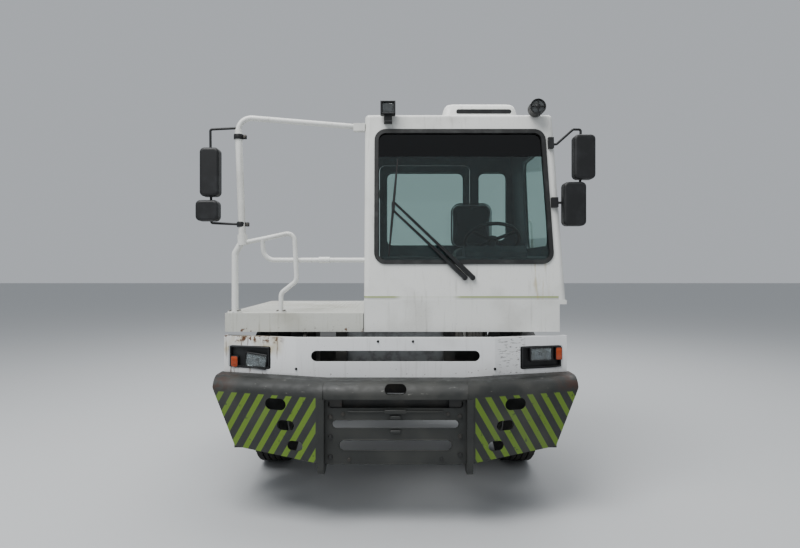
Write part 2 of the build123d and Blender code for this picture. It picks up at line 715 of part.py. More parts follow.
def platform_frame():
    """Three cross beams on posts from the rails, and two brackets that hold the front panel."""
    body = []
    for name, y in BEAM_Y.items():
        span = (y, y + BEAM_WIDTH)
        beam = block((PLATFORM_LEFT_X + 41, SKIRT_RIGHT_X - 36), span, CROSS_BEAM_Z)
        for side in (-1, 1):
            x = sorted((side * RAIL_IN_X, side * RAIL_OUT_X))
            beam = beam + block(x, span, (RAIL_TOP, CROSS_BEAM_Z[0] + 1))
        if name == "front":
            back = PANEL_Y + PANEL_SHEET
            gusset = [
                (back, 1000), (back, 1170), (PANEL_Y + 80, 1174), (y - 10, APRON_BOTTOM - 15),
                (y, CROSS_BEAM_Z[0] + 1),
                (y + BEAM_WIDTH, CROSS_BEAM_Z[0] + 1), (y + BEAM_WIDTH, 1150),
            ]
            for side in (-1, 1):
                x = sorted((side * 640, side * 660))
                beam = beam + side_outline(gusset, x)
        body.append(beam)
    return Compound(children=body)


def platform_deck():
    """The walkway beside the cab: a chequer plate with a deep apron in front and on its open side."""
    x = (PLATFORM_LEFT_X, CAB_LEFT_X - SEAM)
    y = (PLATFORM_Y, CAB_REAR_Y + 10)
    body = block(x, y, (DECK_BOTTOM, PLATFORM_TOP))
    body = body + block(x, (y[0], y[0] + APRON_SHEET), (APRON_BOTTOM, PLATFORM_TOP))
    return body + block((x[0], x[0] + APRON_SHEET), y, (APRON_BOTTOM, PLATFORM_TOP))


def rear_deck():
    """The lower walkway behind the cab, on four legs from the rails."""
    body = block((-1150, 1000), REAR_DECK_Y, (REAR_DECK_TOP - REAR_DECK_SHEET, REAR_DECK_TOP))
    for y in (REAR_DECK_Y[0], REAR_DECK_Y[1] - 10):
        body = body + block((-1150, 1000), (y, y + 10), (REAR_DECK_TOP - 60, REAR_DECK_TOP))
    for side in (-1, 1):
        x = sorted((side * (RAIL_IN_X + 10), side * (RAIL_OUT_X - 10)))
        for y in (-740, -440):
            body = body + block(x, (y, y + 60), (RAIL_TOP, REAR_DECK_TOP - 5))
    return body


MUDGUARD_R = 640
MUDGUARD_SHEET = 12
MUDGUARD_X = (885, 1180)


def mudguard():
    """The +X front mudguard: an arch over the wheel, hung from the middle platform beam."""
    centre = (FRONT_AXLE_Y, AXLE_Z)
    ring = bar((MUDGUARD_X[0], *centre), (MUDGUARD_X[1], *centre), MUDGUARD_R + MUDGUARD_SHEET)
    ring = ring - bar((MUDGUARD_X[0] - 1, *centre), (MUDGUARD_X[1] + 1, *centre), MUDGUARD_R)
    low = AXLE_Z + MUDGUARD_R * sin(radians(18))
    far = MUDGUARD_R + 50
    ring = ring & block((MUDGUARD_X[0], MUDGUARD_X[1]), (centre[0] - far, centre[0] + far), (low, AXLE_Z + far))
    beam = BEAM_Y["middle"]
    drop = AXLE_Z + (MUDGUARD_R + 4) * cos(atan2(FRONT_AXLE_Y - beam - 30, MUDGUARD_R))
    return ring + block((1000, 1060), (beam + 10, beam + 50), (drop - 30, CROSS_BEAM_Z[0]))


# Access steps: (low x, high x, low y, high y, top z, tread heights), -X side; the front pair is on both
FRONT_STEPS = (905, 1180, -2270, -2030, CROSS_BEAM_Z[0], [430, 700, 970])
REAR_STEPS = (-1150, -800, -690, -360, REAR_DECK_TOP - REAR_DECK_SHEET, [430, 720, 1010])


def step_box(low_x, high_x, low_y, high_y, top, treads, wall):
    """Two end plates with treads between them and a back plate on the inner side."""
    body = block(wall, (low_y, high_y), (treads[0] - 60, top))
    for y in ((low_y, low_y + 8), (high_y - 8, high_y)):
        body = body + block((low_x, high_x), y, (treads[0] - 60, treads[-1] + 60))
    for z in treads:
        body = body + block((low_x, high_x), (low_y, high_y), (z - 20, z))
    return body


def access_steps():
    """Three-tread steps ahead of both front wheels and under the rear deck."""
    x = FRONT_STEPS[0]
    front = step_box(*FRONT_STEPS, (x, x + 10))
    y = FRONT_STEPS[2]
    hanger = block((x, x + 10), (BEAM_Y["front"] + 10, y + 10), (FRONT_STEPS[4] - 100, FRONT_STEPS[4]))
    front = front + hanger
    high = REAR_STEPS[1]
    rear = step_box(*REAR_STEPS, (high - 10, high))
    return Compound(children=[front, other_side(front), rear])


POST_X = -1166
GANTRY_Y = -2300
POST_R = 24
UPPER_R = 26
ARM_R = 20
GANTRY_TOP = 2780
GANTRY_CAB_Y = -2190
RAIL_TUBE_R = 17


def mirror_gantry():
    """The tube post at the platform's corner, stepped out at a clamp, and its arm to the cab's roof."""
    clamp = (-1112, GANTRY_Y, 1885)
    body = tube([(POST_X, GANTRY_Y, PLATFORM_TOP), (POST_X, GANTRY_Y, 1790), (*clamp[:2], 1880)], POST_R, 60)
    body = body + bar((-1110, GANTRY_Y, 1850), (-1113, GANTRY_Y, 1925), 36)
    body = body + bar(clamp, (-1141, GANTRY_Y, 2686), UPPER_R)
    body = body + bar((-1140, GANTRY_Y, 2615), (-1141, GANTRY_Y, 2655), 31)
    end = (CAB_LEFT_X - 60, GANTRY_CAB_Y, 2735)
    body = body + tube([(-1141, GANTRY_Y, 2660), (-1144, GANTRY_Y, GANTRY_TOP), end], ARM_R, 95)
    clamp_x = (CAB_LEFT_X - 85, CAB_LEFT_X)
    body = body + block(clamp_x, (GANTRY_CAB_Y - 28, GANTRY_CAB_Y + 28), (2702, 2758))
    return body + bar((POST_X, GANTRY_Y, PLATFORM_TOP), (POST_X, GANTRY_Y, PLATFORM_TOP + 12), 52)


def handrails():
    """The walkway's two looped rails: a gate loop on the post and a low rail across to the cab."""
    y = GANTRY_Y
    loop = [
        (-1078, y, 1872), (-940, y, 1900), (-735, y, 1945), (-720, y + 10, 1590), (-836, y + 20, 1500),
        (-836, y + 20, PLATFORM_TOP),
    ]
    body = tube(loop, RAIL_TUBE_R, 55)
    low = [(-967, y, 1890), (-962, y + 28, 1742), (CAB_LEFT_X, y + 28, 1742)]
    body = body + tube(low, RAIL_TUBE_R, 80)
    body = body + bar((-560, y + 28, 1742), (-480, y + 28, 1742), 23)
    body = body + bar((-836, y + 20, PLATFORM_TOP), (-836, y + 20, PLATFORM_TOP + 10), 42)
    return body - mirror_gantry()


MIRROR_ROD_R = 9
SEAT_PLAY = 0.3
# Mirror brackets on the cab's pillar: (x, z, half width, half height)
MIRROR_BRACKETS = [(1140, 2600, 20, 40), (1156, 2158, 24, 36)]
# Mirror heads: (low x, high x, low z, high z)
MIRROR_HEADS = [(-1400, -1260, 2196, 2546), (-1430, -1265, 2020, 2170), (1275, 1430, 2320, 2640), (1200, 1364, 1985, 2300)]
MIRROR_Y = (-2385, -2310)


def mirror_arms():
    """The bent rods that carry the mirrors: one loop on the gantry post and one on the cab's pillar."""
    y = MIRROR_Y[1] + MIRROR_ROD_R + SEAT_PLAY
    left = [(-1141, y, 2700), (-1345, y, 2690), (-1338, y, 2010), (-1118, y, 2000)]
    left_rod = tube(left, MIRROR_ROD_R, 14)
    top = on_front_face(1140, 2590, 15)
    right = [top, (1182, top[1], 2592), (1290, y, 2690), (1345, y, 2690), (1340, y, 2158), (1150, y, 2158)]
    right_rod = tube(right, MIRROR_ROD_R, 14)
    for x, z, half_x, half_z in MIRROR_BRACKETS:
        middle = up_front(z)
        shape = block((x - half_x, x + half_x), (-30, 0), (middle - half_z, middle + half_z))
        right_rod = right_rod + ON_FRONT * shape
    return Compound(children=[left_rod - mirror_gantry(), right_rod])


def mirror_heads():
    """Four mirror housings: a tall and a wide one on each side, behind their rods."""
    heads = []
    for low_x, high_x, low_z, high_z in MIRROR_HEADS:
        head = block((low_x, high_x), MIRROR_Y, (low_z, high_z))
        head = fillet(head.edges().filter_by(Axis.Y), 35)
        heads.append(fillet(head.faces().sort_by(Axis.Y)[0].edges(), 20))
    return Compound(children=heads)


def body_work():
    """Bumper, panel, lamps, platform, steps and everything on the platform outside the cab."""
    return {
        "front_bumper": front_bumper(),
        "front_panel": front_panel(),
        **lamps(),
        "platform_frame": platform_frame(),
        "platform_deck": platform_deck(),
        "rear_deck": rear_deck(),
        "front_mudguards": both_sides(mudguard()),
        "access_steps": access_steps(),
        "mirror_gantry": mirror_gantry(),
        "handrails": handrails(),
        "mirror_arms": mirror_arms(),
        "mirror_heads": mirror_heads(),
    }


# Cab

FRONT_LEAN = degrees(atan2(CAB_FRONT_SET_BACK, CAB_TOP_Z - CAB_BASE_Z))
SIDE_LEAN = degrees(atan2(CAB_RIGHT_X - CAB_RIGHT_TOP_X, CAB_TOP_Z - CAB_BASE_Z))
ON_FRONT = Pos(0, PLATFORM_Y, CAB_BASE_Z) * Rot(X=-FRONT_LEAN)
ON_DOOR_SIDE = Pos(CAB_RIGHT_X, 0, CAB_BASE_Z) * Rot(Y=-SIDE_LEAN)
ALONG_SIDE = Rot(Z=90)
WINDSCREEN = [(-155, 1711), (1145, 1711), (1102, 2708), (-155, 2708)]
WINDSCREEN_R = 85
SIDE_WINDOW = [(-1960, 1900), (-1120, 1900), (-1120, 2620), (-1960, 2620)]
REAR_WINDOW = [(810, 1950), (1090, 1950), (1090, 2620), (810, 2620)]
REAR_DOOR = [(-160, 1480), (730, 1480), (730, 2690), (-160, 2690)]
REAR_DOOR_WINDOW = [(-90, 1900), (670, 1900), (670, 2620), (-90, 2620)]
SIDE_DOOR = [(-2110, 26), (-1230, 26), (-1230, 1236), (-2110, 1236)]
SIDE_DOOR_WINDOW = [(-2040, 400), (-1300, 400), (-1300, 1170), (-2040, 1170)]
WINDOW_R = 60
GLASS_DEPTH = (16, 16 + GLASS)


def up_front(z):
    """A height measured up the cab's leaning front, from its base."""
    return (z - CAB_BASE_Z) / cos(radians(FRONT_LEAN))


def on_front_face(x, z, proud):
    """A point at a height on the cab's leaning front, stood off by a distance."""
    y = PLATFORM_Y + (z - CAB_BASE_Z) * tan(radians(FRONT_LEAN))
    return (x, y - proud, z)


def cab_section(z, inset):
    """The cab's outline in plan at a height, moved in from its outer faces."""
    rise = (z - CAB_BASE_Z) / (CAB_TOP_Z - CAB_BASE_Z)
    right = CAB_RIGHT_X - (CAB_RIGHT_X - CAB_RIGHT_TOP_X) * rise - inset
    front = PLATFORM_Y + CAB_FRONT_SET_BACK * rise + inset
    left, back = CAB_LEFT_X + inset, CAB_REAR_Y - inset
    corners = [(left, front), (right, front), (right, back), (left, back)]
    return make_face(Polyline(*[(a, b, z) for a, b in corners], close=True))


def cab_body(inset, low, high):
    """The cab's leaning box between two heights."""
    return loft([cab_section(low, inset), cab_section(high, inset)], ruled=True)


def cab_outside():
    """The cab's outer form with rounded upright corners."""
    body = cab_body(0, CAB_BASE_Z, CAB_TOP_Z)
    upright = [edge for edge in body.edges() if abs((edge % 0.5).Z) > 0.9]
    return fillet(upright, CAB_CORNER_R)


def pane(corners, inset, radius, depth):
    """A round-cornered window shape across an x and z plane, between two depths along y."""
    (x0, z0), (x1, z1), (x2, z2), (x3, z3) = corners
    inner = [(x0 + inset, z0 + inset), (x1 - inset, z1 + inset), (x2 - inset, z2 - inset), (x3 + inset, z3 - inset)]
    body = front_outline(inner, depth)
    return fillet(body.edges().filter_by(Axis.Y), radius - inset)


def front_pane(inset, depth):
    """The windscreen's shape on the leaning front, moved in, between two depths behind the face."""
    corners = [(x, up_front(z)) for x, z in WINDSCREEN]
    return ON_FRONT * pane(corners, inset, WINDSCREEN_R, depth)


def door_pane(corners, inset, depth):
    """A shape on the leaning +X wall, moved in, between two depths behind the face."""
    return ON_DOOR_SIDE * (ALONG_SIDE * pane(corners, inset, WINDOW_R, depth))


def rear_pane(corners, inset, depth):
    """A shape on the rear wall, moved in, between two depths ahead of its face."""
    return pane(corners, inset, WINDOW_R, (CAB_REAR_Y - depth[1], CAB_REAR_Y - depth[0]))


def side_pane(corners, inset, depth):
    """A shape on the -X wall, moved in, between two depths behind its face."""
    return ALONG_SIDE * pane(corners, inset, WINDOW_R, (-CAB_LEFT_X - depth[1], -CAB_LEFT_X - depth[0]))


def hinge(height, door_part):
    """One half of a door hinge on a local upright axis, with a leaf on the door or on the wall."""
    side = 1 if door_part else -1
    z = (height, height + 40) if door_part else (height - 40 - HINGE_PLAY, height - HINGE_PLAY)
    leaf_x = sorted((0, side * 55))
    body = bar((0, 0, z[0]), (0, 0, z[1]), HINGE_R)
    return body + block(leaf_x, (-3, HINGE_STAND_OFF), z)


HINGE_HEIGHTS = (220, 960)
HINGE_TURN = Rot(Z=90)
SIDE_HINGE = ON_DOOR_SIDE * Pos(HINGE_STAND_OFF, SIDE_DOOR[0][0] + DOOR_GAP / 2, 0) * HINGE_TURN
REAR_HINGE = Pos(REAR_DOOR[0][0] + DOOR_GAP / 2, CAB_REAR_Y + HINGE_STAND_OFF, CAB_BASE_Z)


def side_hinges(door_part):
    """The side door's hinge halves on the leaning wall."""
    return [SIDE_HINGE * hinge(z, door_part) for z in HINGE_HEIGHTS]


def rear_hinges(door_part):
    """The rear door's hinge halves on the rear wall."""
    return [REAR_HINGE * mirror(hinge(z, door_part), about=Plane.XZ) for z in HINGE_HEIGHTS]


def cab_walls():
    """The cab's panels, split where the real ones meet, with their windows, doors and glass."""
    outside = cab_outside()
    far = 3000
    walls = outside & block((-far, far), (-far, far), (0, ROOF_Z))
    walls = walls - cab_body(CAB_WALL, CAB_BASE_Z - 1, ROOF_Z + 1)
    roof = outside & block((-far, far), (-far, far), (ROOF_Z, far))
    roof = fillet(roof.faces().sort_by(Axis.Z)[-1].edges(), 25)
    front_zone = ON_FRONT * block((-far, far), (-100, PILLAR_DEPTH), (-100, 2000))
    rear_zone = block((-far, far), (CAB_REAR_Y - CAB_WALL, far), (0, far))
    sides = walls - front_zone - rear_zone
    through = (-5, CAB_WALL + 5)
    front = (walls & front_zone) - front_pane(0, (-5, PILLAR_DEPTH))
    rear = walls & rear_zone
    rear_door = rear & rear_pane(REAR_DOOR, DOOR_GAP, through)
    rear = rear - rear_pane(REAR_DOOR, 0, through) - rear_pane(REAR_WINDOW, 0, through)
    left = (sides & block((-far, 0), (-far, far), (0, far))) - side_pane(SIDE_WINDOW, 0, through)
    right = sides & block((0, far), (-far, far), (0, far))
    side_door = right & door_pane(SIDE_DOOR, DOOR_GAP, through)
    right = right - door_pane(SIDE_DOOR, 0, through)
    seal_depth = (-SEAL_PROUD, CAB_WALL)
    for leaf in side_hinges(False):
        right = right + (leaf - outside)
    for leaf in rear_hinges(False):
        rear = rear + (leaf - outside)
    side_door = side_door - door_pane(SIDE_DOOR_WINDOW, 0, through)
    rear_door = rear_door - rear_pane(REAR_DOOR_WINDOW, 0, through)
    for leaf in side_hinges(True):
        side_door = side_door + (leaf - outside)
    for leaf in rear_hinges(True):
        rear_door = rear_door + (leaf - outside)
    windscreen = front_pane(SEAL_WIDTH, (GLASS_INSET, GLASS_INSET + GLASS))
    side_glass = side_pane(SIDE_WINDOW, 0, GLASS_DEPTH)
    rear_glass = rear_pane(REAR_WINDOW, 0, GLASS_DEPTH)
    return {
        "cab_front_wall": front,
        "cab_rear_wall": rear,
        "cab_side_wall": left,
        "cab_door_wall": right,
        "cab_roof": roof,
        "windscreen_seal": front_pane(0, seal_depth) - front_pane(SEAL_WIDTH, (-SEAL_PROUD - 5, CAB_WALL + 5)),
        "cab_glass": Compound(children=[windscreen, side_glass, rear_glass]),
        "side_door_panel": side_door,
        "side_door_glass": door_pane(SIDE_DOOR_WINDOW, 0, GLASS_DEPTH),
        "rear_door_panel": rear_door,
        "rear_door_glass": rear_pane(REAR_DOOR_WINDOW, 0, GLASS_DEPTH),
    }


def cab_floor():
    """The floor slab with a flange under the walls and a skirt down to the apron's edge in front."""
    y = (PLATFORM_Y, CAB_REAR_Y)
    body = block((CAB_LEFT_X, SKIRT_RIGHT_X), y, (DECK_BOTTOM, CAB_BASE_Z))
    body = body + block((CAB_LEFT_X, CAB_RIGHT_X), y, (CAB_BASE_Z - FLOOR_FLANGE, CAB_BASE_Z))
    return body + block((CAB_LEFT_X, SKIRT_RIGHT_X), (y[0], y[0] + APRON_SHEET), (APRON_BOTTOM, CAB_BASE_Z))


ROOF_UNIT_X = (360, 1030)
ROOF_UNIT_Y = (-1800, -1100)
ROOF_UNIT_TOP = 3040


def roof_unit():
    """The roof ventilation unit: a rounded box with a long slot in front."""
    body = block(ROOF_UNIT_X, ROOF_UNIT_Y, (CAB_TOP_Z, ROOF_UNIT_TOP))
    body = fillet(body.edges().filter_by(Axis.Z), 70)
    body = fillet(body.faces().sort_by(Axis.Z)[-1].edges(), 40)
    middle = sum(ROOF_UNIT_X) / 2 + 28
    return body - slot_y(middle, 2963, 450, 38, (ROOF_UNIT_Y[0] - 1, ROOF_UNIT_Y[0] + 30))


def work_lamps():
    """A square lamp on a stub from the front wall and a round lamp on the roof's front edge."""
    square = block((-110, 0), (-2300, -2245), (2800, 2900))
    root = up_front(2765)
    stub = ON_FRONT * block((-85, -25), (-60, 0), (root - 18, root + 18))
    lamp = square + stub + block((-80, -30), (-2290, -2255), (2770, 2805))
    bracket = block((1014, 1046), (-2243, -2150), (CAB_TOP_Z, CAB_TOP_Z + 12))
    can = bar((1030, -2320, 2850), (1030, -2240, 2850), 57)
    return Compound(children=[lamp, bracket + can])


WIPER_OUT = 32
WIPER_PIVOTS = [(497, 1616), (554, 1616)]
WIPER_BLADE = [(16, 2484), (-48, 1770)]


def wiper():
    """A long blade on a parallel pair of arms, with a boss under the seal for each arm."""
    (top_x, top_z), (low_x, low_z) = WIPER_BLADE
    top, low = up_front(top_z), up_front(low_z)
    length = hypot(top_x - low_x, top - low)
    blade = block((-5, 5), (-WIPER_OUT, GLASS_INSET - 0.3), (0, length))
    turn = degrees(atan2(top_x - low_x, top - low))
    body = Pos(low_x, 0, low) * Rot(Y=turn) * blade
    mid = ((top_x + low_x) / 2, (top + low) / 2)
    for row, (x, z) in enumerate(WIPER_PIVOTS):
        body = body + bar((x, 0, up_front(z)), (x, -WIPER_OUT - 8, up_front(z)), 16)
        tip = (mid[0], -WIPER_OUT + 2, mid[1] - 30 + 60 * row)
        body = body + bar((x, -WIPER_OUT + 2, up_front(z)), tip, 6)
    return ON_FRONT * body


SEAT_X = (500, 980)


def interior():
    """Seat, dashboard and steering wheel."""
    middle = sum(SEAT_X) / 2
    base = block((middle - 170, middle + 170), (-1480, -1100), (CAB_BASE_Z, CAB_BASE_Z + 40))
    base = base + block((middle - 110, middle + 110), (-1420, -1140), (CAB_BASE_Z + 30, 1730))
    base = base + block((middle - 200, middle + 200), (-1500, -1080), (1720, 1745))
    base = base + block((middle - 30, middle + 30), (-1075, -1055), (1720, 2150)) + block(
        (middle - 30, middle + 30), (-1090, -1055), (1720, 1745)
    )
    cushion = rounded_block(SEAT_X, (-1520, -1085), (1745.3, 1850), 40, Axis.Y)
    back = rounded_block(SEAT_X, (-1185, -1075.3), (1850.3, 2300), 60, Axis.Y)
    lean = FRONT_LEAN
    wall = PLATFORM_Y + CAB_WALL + 12
    dash = [
        (wall, CAB_BASE_Z), (wall + 300 * tan(radians(lean)), 1754), (-2200, 1770), (-2070, 1730),
        (-2060, 1640), (-2180, 1560), (-2180, CAB_BASE_Z),
    ]
    dashboard = side_outline(dash, (CAB_LEFT_X + CAB_WALL + 10, 1120))
    hood = [(-2240, 1700), (-2240, 1800), (-2160, 1850), (-2060, 1800), (-2060, 1700)]
    dashboard = dashboard + side_outline(hood, (middle - 230, middle + 230))
    wheel = Pos(middle + 20, -1950, 1900) * Rot(X=-35) * steering_wheel() - dashboard
    return {
        "seat_base": base,
        "seat_cushions": Compound(children=[cushion, back]),
        "dashboard": dashboard,
        "steering_wheel": wheel,
    }


def steering_wheel():
    """A four-spoke wheel about a local z axis, with its column below."""
    ring = Torus(210, 14)
    body = ring + Cylinder(45, 30)
    for turn in (35, 145, 215, 325):
        body = body + Rot(Z=turn) * block((30, 205), (-14, 14), (-8, 4))
    return body + bar((0, 0, -10), (0, 0, -COLUMN), 26)


COLUMN = 190


def cab():
    """The cab and what is on and in it."""
    return {
        "cab_floor": cab_floor(),
        **cab_walls(),
        "roof_unit": roof_unit(),
        "work_lamps": work_lamps(),
        "wiper": wiper(),
        **interior(),
    }


# Lifting boom and fifth wheel

def lift_boom():
    """Two long plates on a pivot tube, a top plate, a pin for the rods and ears for the fifth wheel."""
    y, z = BOOM_PIVOT
    ear_y, ear_z = COUPLER_PIVOT
    low, high = BOOM_Z
    tube_half = RAIL_IN_X - 1
    body = cross_bar((-tube_half, tube_half), y, z, BOOM_EYE_R)
    plate = [
        (y, z - BOOM_EYE_R), (y + 150, low), (ear_y + 60, low), (ear_y + 60, low + 75), (ear_y - 130, low + 75),
        (ear_y - 330, high), (y + 80, high), (y, z + BOOM_EYE_R),
    ]
    for side in (-1, 1):
        x = sorted((side * BOOM_X[0], side * BOOM_X[1]))
        body = body + side_outline(plate, x)
        ear_x = sorted((side * EAR_X[0], side * EAR_X[1]))
        ear = [
            (ear_y - 70, low + 5), (ear_y + 60, low + 5), (ear_y + 45, ear_z), (ear_y + 25, ear_z + 40),
            (ear_y - 25, ear_z + 40), (ear_y - 45, ear_z),
        ]
        body = body + side_outline(ear, ear_x)
        pin = sorted((side * (EAR_X[0] - RIB_WIDTH - 8), side * EAR_X[1]))
        body = body + cross_bar(pin, ear_y, ear_z, COUPLER_PIN_R)
    body = body + block((-BOOM_X[1], BOOM_X[1]), (y + 100, 900), (high - 12, high))
    body = body + block((-EAR_X[1], EAR_X[1]), (ear_y - 70, ear_y + 60), (low + 5, low + 75))
    pin_y, pin_z = CYLINDER_EYE
    body = body + cross_bar((-BOOM_X[1], BOOM_X[1]), pin_y, pin_z, LIFT_PIN_R)
    return body - cross_bar((-tube_half - 1, tube_half + 1), y, z, BOOM_PIN_R + RUNNING_FIT)


EAR_X = (345, 378)
RIB_WIDTH = 34


def fifth_wheel_plate():
    """The coupling plate: a chamfered plate with a throat, the closed jaw under it and two pivot ribs."""
    y, z = COUPLER_PIVOT
    front, back = y - COUPLER_LENGTH[0], y + COUPLER_LENGTH[1]
    half, under = COUPLER_HALF, COUPLER_TOP - COUPLER_PLATE
    right = [
        (half - 120, front), (half, front + 150), (half, back - 170), (half - 70, back),
        (THROAT_MOUTH, back), (THROAT_NECK, y + 110), (THROAT_NECK, y),
    ]
    outline = right + [(-a, b) for a, b in reversed(right)]
    body = plan_outline(outline, (under, COUPLER_TOP))
    body = body - bar((0, y, under - 1), (0, y, COUPLER_TOP + 1), THROAT_NECK)
    jaw_z = (under - JAW_DEPTH, under)
    body = body + block((-110, 110), (y - 110, y + 60), jaw_z) + bar((0, y, jaw_z[0]), (0, y, jaw_z[1]), 80)
    for side in (-1, 1):
        x = sorted((side * (EAR_X[0] - 5), side * (EAR_X[0] - 5 - RIB_WIDTH)))
        rib = [(y - 170, under + 1), (y + 170, under + 1), (y + 50, z), (y - 50, z)]
        body = body + side_outline(rib, x) + cross_bar(x, y, z, 50)
        edge = sorted((side * half, side * (half - 16)))
        body = body + block(edge, (front + 160, back - 180), (under - 34, under + 1))
        body = body - cross_bar((x[0] - 1, x[1] + 1), y, z, COUPLER_PIN_R + RUNNING_FIT)
    return body - bar((0, y, jaw_z[0] - 1), (0, y, jaw_z[1] + 1), JAW_R)


THROAT_MOUTH = 170
THROAT_NECK = 34


def cylinder_line():
    """The lift cylinder's closed length and the unit vector along it, from its base to its eye."""
    base = Vector(0, *CYLINDER_BASE)
    eye = Vector(0, *CYLINDER_EYE)
    return (eye - base).length, (eye - base).normalized()


BARREL_START = 50
BARREL_TOP_SPARE = 142
BORE_START = 70


def barrel(x):
    """One lift cylinder's barrel with its base eye."""
    closed, along = cylinder_line()
    base = Vector(x, *CYLINDER_BASE)
    body = bar(tuple(base + along * BARREL_START), tuple(base + along * (closed - BARREL_TOP_SPARE)), BARREL_R)
    body = body + bar(tuple(base + along * 20), tuple(base + along * (BARREL_START + 5)), 34)
    body = body + cross_bar((x - 45, x + 45), base.Y, base.Z, 38)
    bore = bar(tuple(base + along * BORE_START), tuple(base + along * closed), ROD_R + RUNNING_FIT)
    return body - bore - cross_bar((x - 46, x + 46), base.Y, base.Z, LIFT_PIN_R + RUNNING_FIT)


def rod(x):
    """One lift cylinder's rod with the eye round the boom's pin."""
    closed, along = cylinder_line()
    base = Vector(x, *CYLINDER_BASE)
    eye = base + along * closed
    body = bar(tuple(base + along * (BORE_START + 5)), tuple(eye - along * 38), ROD_R)
    body = body + cross_bar((x - 26, x + 26), eye.Y, eye.Z, ROD_EYE_R)
    return body - cross_bar((x - 27, x + 27), eye.Y, eye.Z, ROD_EYE_BORE_R)


def lift():
    """The boom, the fifth wheel and the pair of lift cylinders."""
    return {
        "lift_boom": lift_boom(),
        "fifth_wheel_plate": fifth_wheel_plate(),
        "lift_barrels": both_sides(barrel(CYLINDER_X)),
        "lift_rods": both_sides(rod(CYLINDER_X)),
    }


def tractor():
    """Every sub-part by name."""
    return {**frame(), **axles(), **wheels(), **body_work(), **cab(), **lift()}


os.makedirs("parts", exist_ok=True)
for name, shape in tractor().items():
    export_step(shape, f"parts/{name}.step")
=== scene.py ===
# %% [markdown]
# # Terminal tractor
# This file dresses a finished engineering model. The steel, the joints and the sizes come from the
# frame, and what follows is what the eye adds: paint and its wear, rubber, glass, tread, seat cloth,
# lamp optics and small hardware. All lengths are metres, +Z is up and the front faces -Y.

# %% Load the frame
import json
import math

import bmesh
import bpy
import numpy as np
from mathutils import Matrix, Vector


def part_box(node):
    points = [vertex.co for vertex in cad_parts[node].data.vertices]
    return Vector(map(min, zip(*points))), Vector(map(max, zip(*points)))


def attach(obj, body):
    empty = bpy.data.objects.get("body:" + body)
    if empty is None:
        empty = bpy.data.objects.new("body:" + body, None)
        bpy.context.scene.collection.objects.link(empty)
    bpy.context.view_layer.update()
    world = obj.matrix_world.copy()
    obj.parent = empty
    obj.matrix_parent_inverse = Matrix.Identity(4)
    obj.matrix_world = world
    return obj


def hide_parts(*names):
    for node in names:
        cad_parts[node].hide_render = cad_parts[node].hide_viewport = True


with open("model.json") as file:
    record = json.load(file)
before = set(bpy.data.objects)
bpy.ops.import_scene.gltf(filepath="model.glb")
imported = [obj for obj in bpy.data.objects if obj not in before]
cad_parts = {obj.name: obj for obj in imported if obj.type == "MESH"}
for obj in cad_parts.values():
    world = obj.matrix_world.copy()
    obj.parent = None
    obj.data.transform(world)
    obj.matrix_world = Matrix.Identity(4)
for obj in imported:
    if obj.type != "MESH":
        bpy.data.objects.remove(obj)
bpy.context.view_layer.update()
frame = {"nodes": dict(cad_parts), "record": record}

# %% [markdown]
# ## Camera
# The photograph was taken standing, square to the bumper, with a wide phone lens. The horizon lies
# near the middle of the picture, so the camera is level and its height is the eye's height. A level
# camera keeps upright edges upright, which a tilted one would not. The small shift moves the
# picture's middle to where the photograph's middle is.

# %% Camera
PICTURE = (800, 548)
HORIZON_Y = 268.5
VANISHING_X = 395.5
FOCAL_PX = 578
SENSOR = 36.0
EYE_HEIGHT = 1.68
STAND_OFF = 6.50

camera_data = bpy.data.cameras.new("camera")
camera_data.sensor_width = SENSOR
camera_data.lens = SENSOR * FOCAL_PX / PICTURE[0]
camera_data.shift_x = (PICTURE[0] / 2 - VANISHING_X) / PICTURE[0]
camera_data.shift_y = -(PICTURE[1] / 2 - HORIZON_Y) / PICTURE[0]
camera = bpy.data.objects.new("camera", camera_data)
camera.location = (0, -STAND_OFF, EYE_HEIGHT)
camera.rotation_euler = (math.radians(90), 0, 0)
bpy.context.collection.objects.link(camera)
bpy.context.scene.camera = camera
print("lens", round(camera_data.lens, 2), "mm")

# %% [markdown]
# ## Colours and nodes
# A screen colour written in hex is not linear light, so one function turns it into the linear value
# that a shader needs. A second small function adds a node, sets its values and makes its links, so
# that each material below reads as a list of what happens to the surface.

# %% Helpers for materials
def linear(code, alpha=1.0):
    """Linear RGBA of an sRGB hex colour: each channel c becomes ((c + 0.055) / 1.055) to the 2.4."""
    channels = np.array([int(code[i : i + 2], 16) for i in (1, 3, 5)]) / 255
    curve = np.where(channels <= 0.04045, channels / 12.92, ((channels + 0.055) / 1.055) ** 2.4)
    return (*curve, alpha)


def put(tree, kind, links=None, values=None, **attributes):
    """Adds a node: attributes are its own settings, values and links are keyed by input."""
    node = tree.nodes.new("ShaderNode" + kind)
    for key, value in attributes.items():
        setattr(node, key, value)
    for key, value in (values or {}).items():
        node.inputs[key].default_value = value
    for key, socket in (links or {}).items():
        tree.links.new(socket, node.inputs[key])
    return node


def new_material(name, **values):
    """A material with one Principled shader; values are set on the shader's own sockets."""
    material = bpy.data.materials.new(name)
    material.use_nodes = True
    tree = material.node_tree
    shader = tree.nodes["Principled BSDF"]
    for key, value in values.items():
        shader.inputs[key.replace("_", " ")].default_value = value
    return material, tree, shader


def place(tree, stretch=(1, 1, 1)):
    """Object coordinates in metres, stretched along each axis."""
    where = put(tree, "TexCoord").outputs["Object"]
    return put(tree, "Mapping", {"Vector": where}, {"Scale": stretch}).outputs["Vector"]


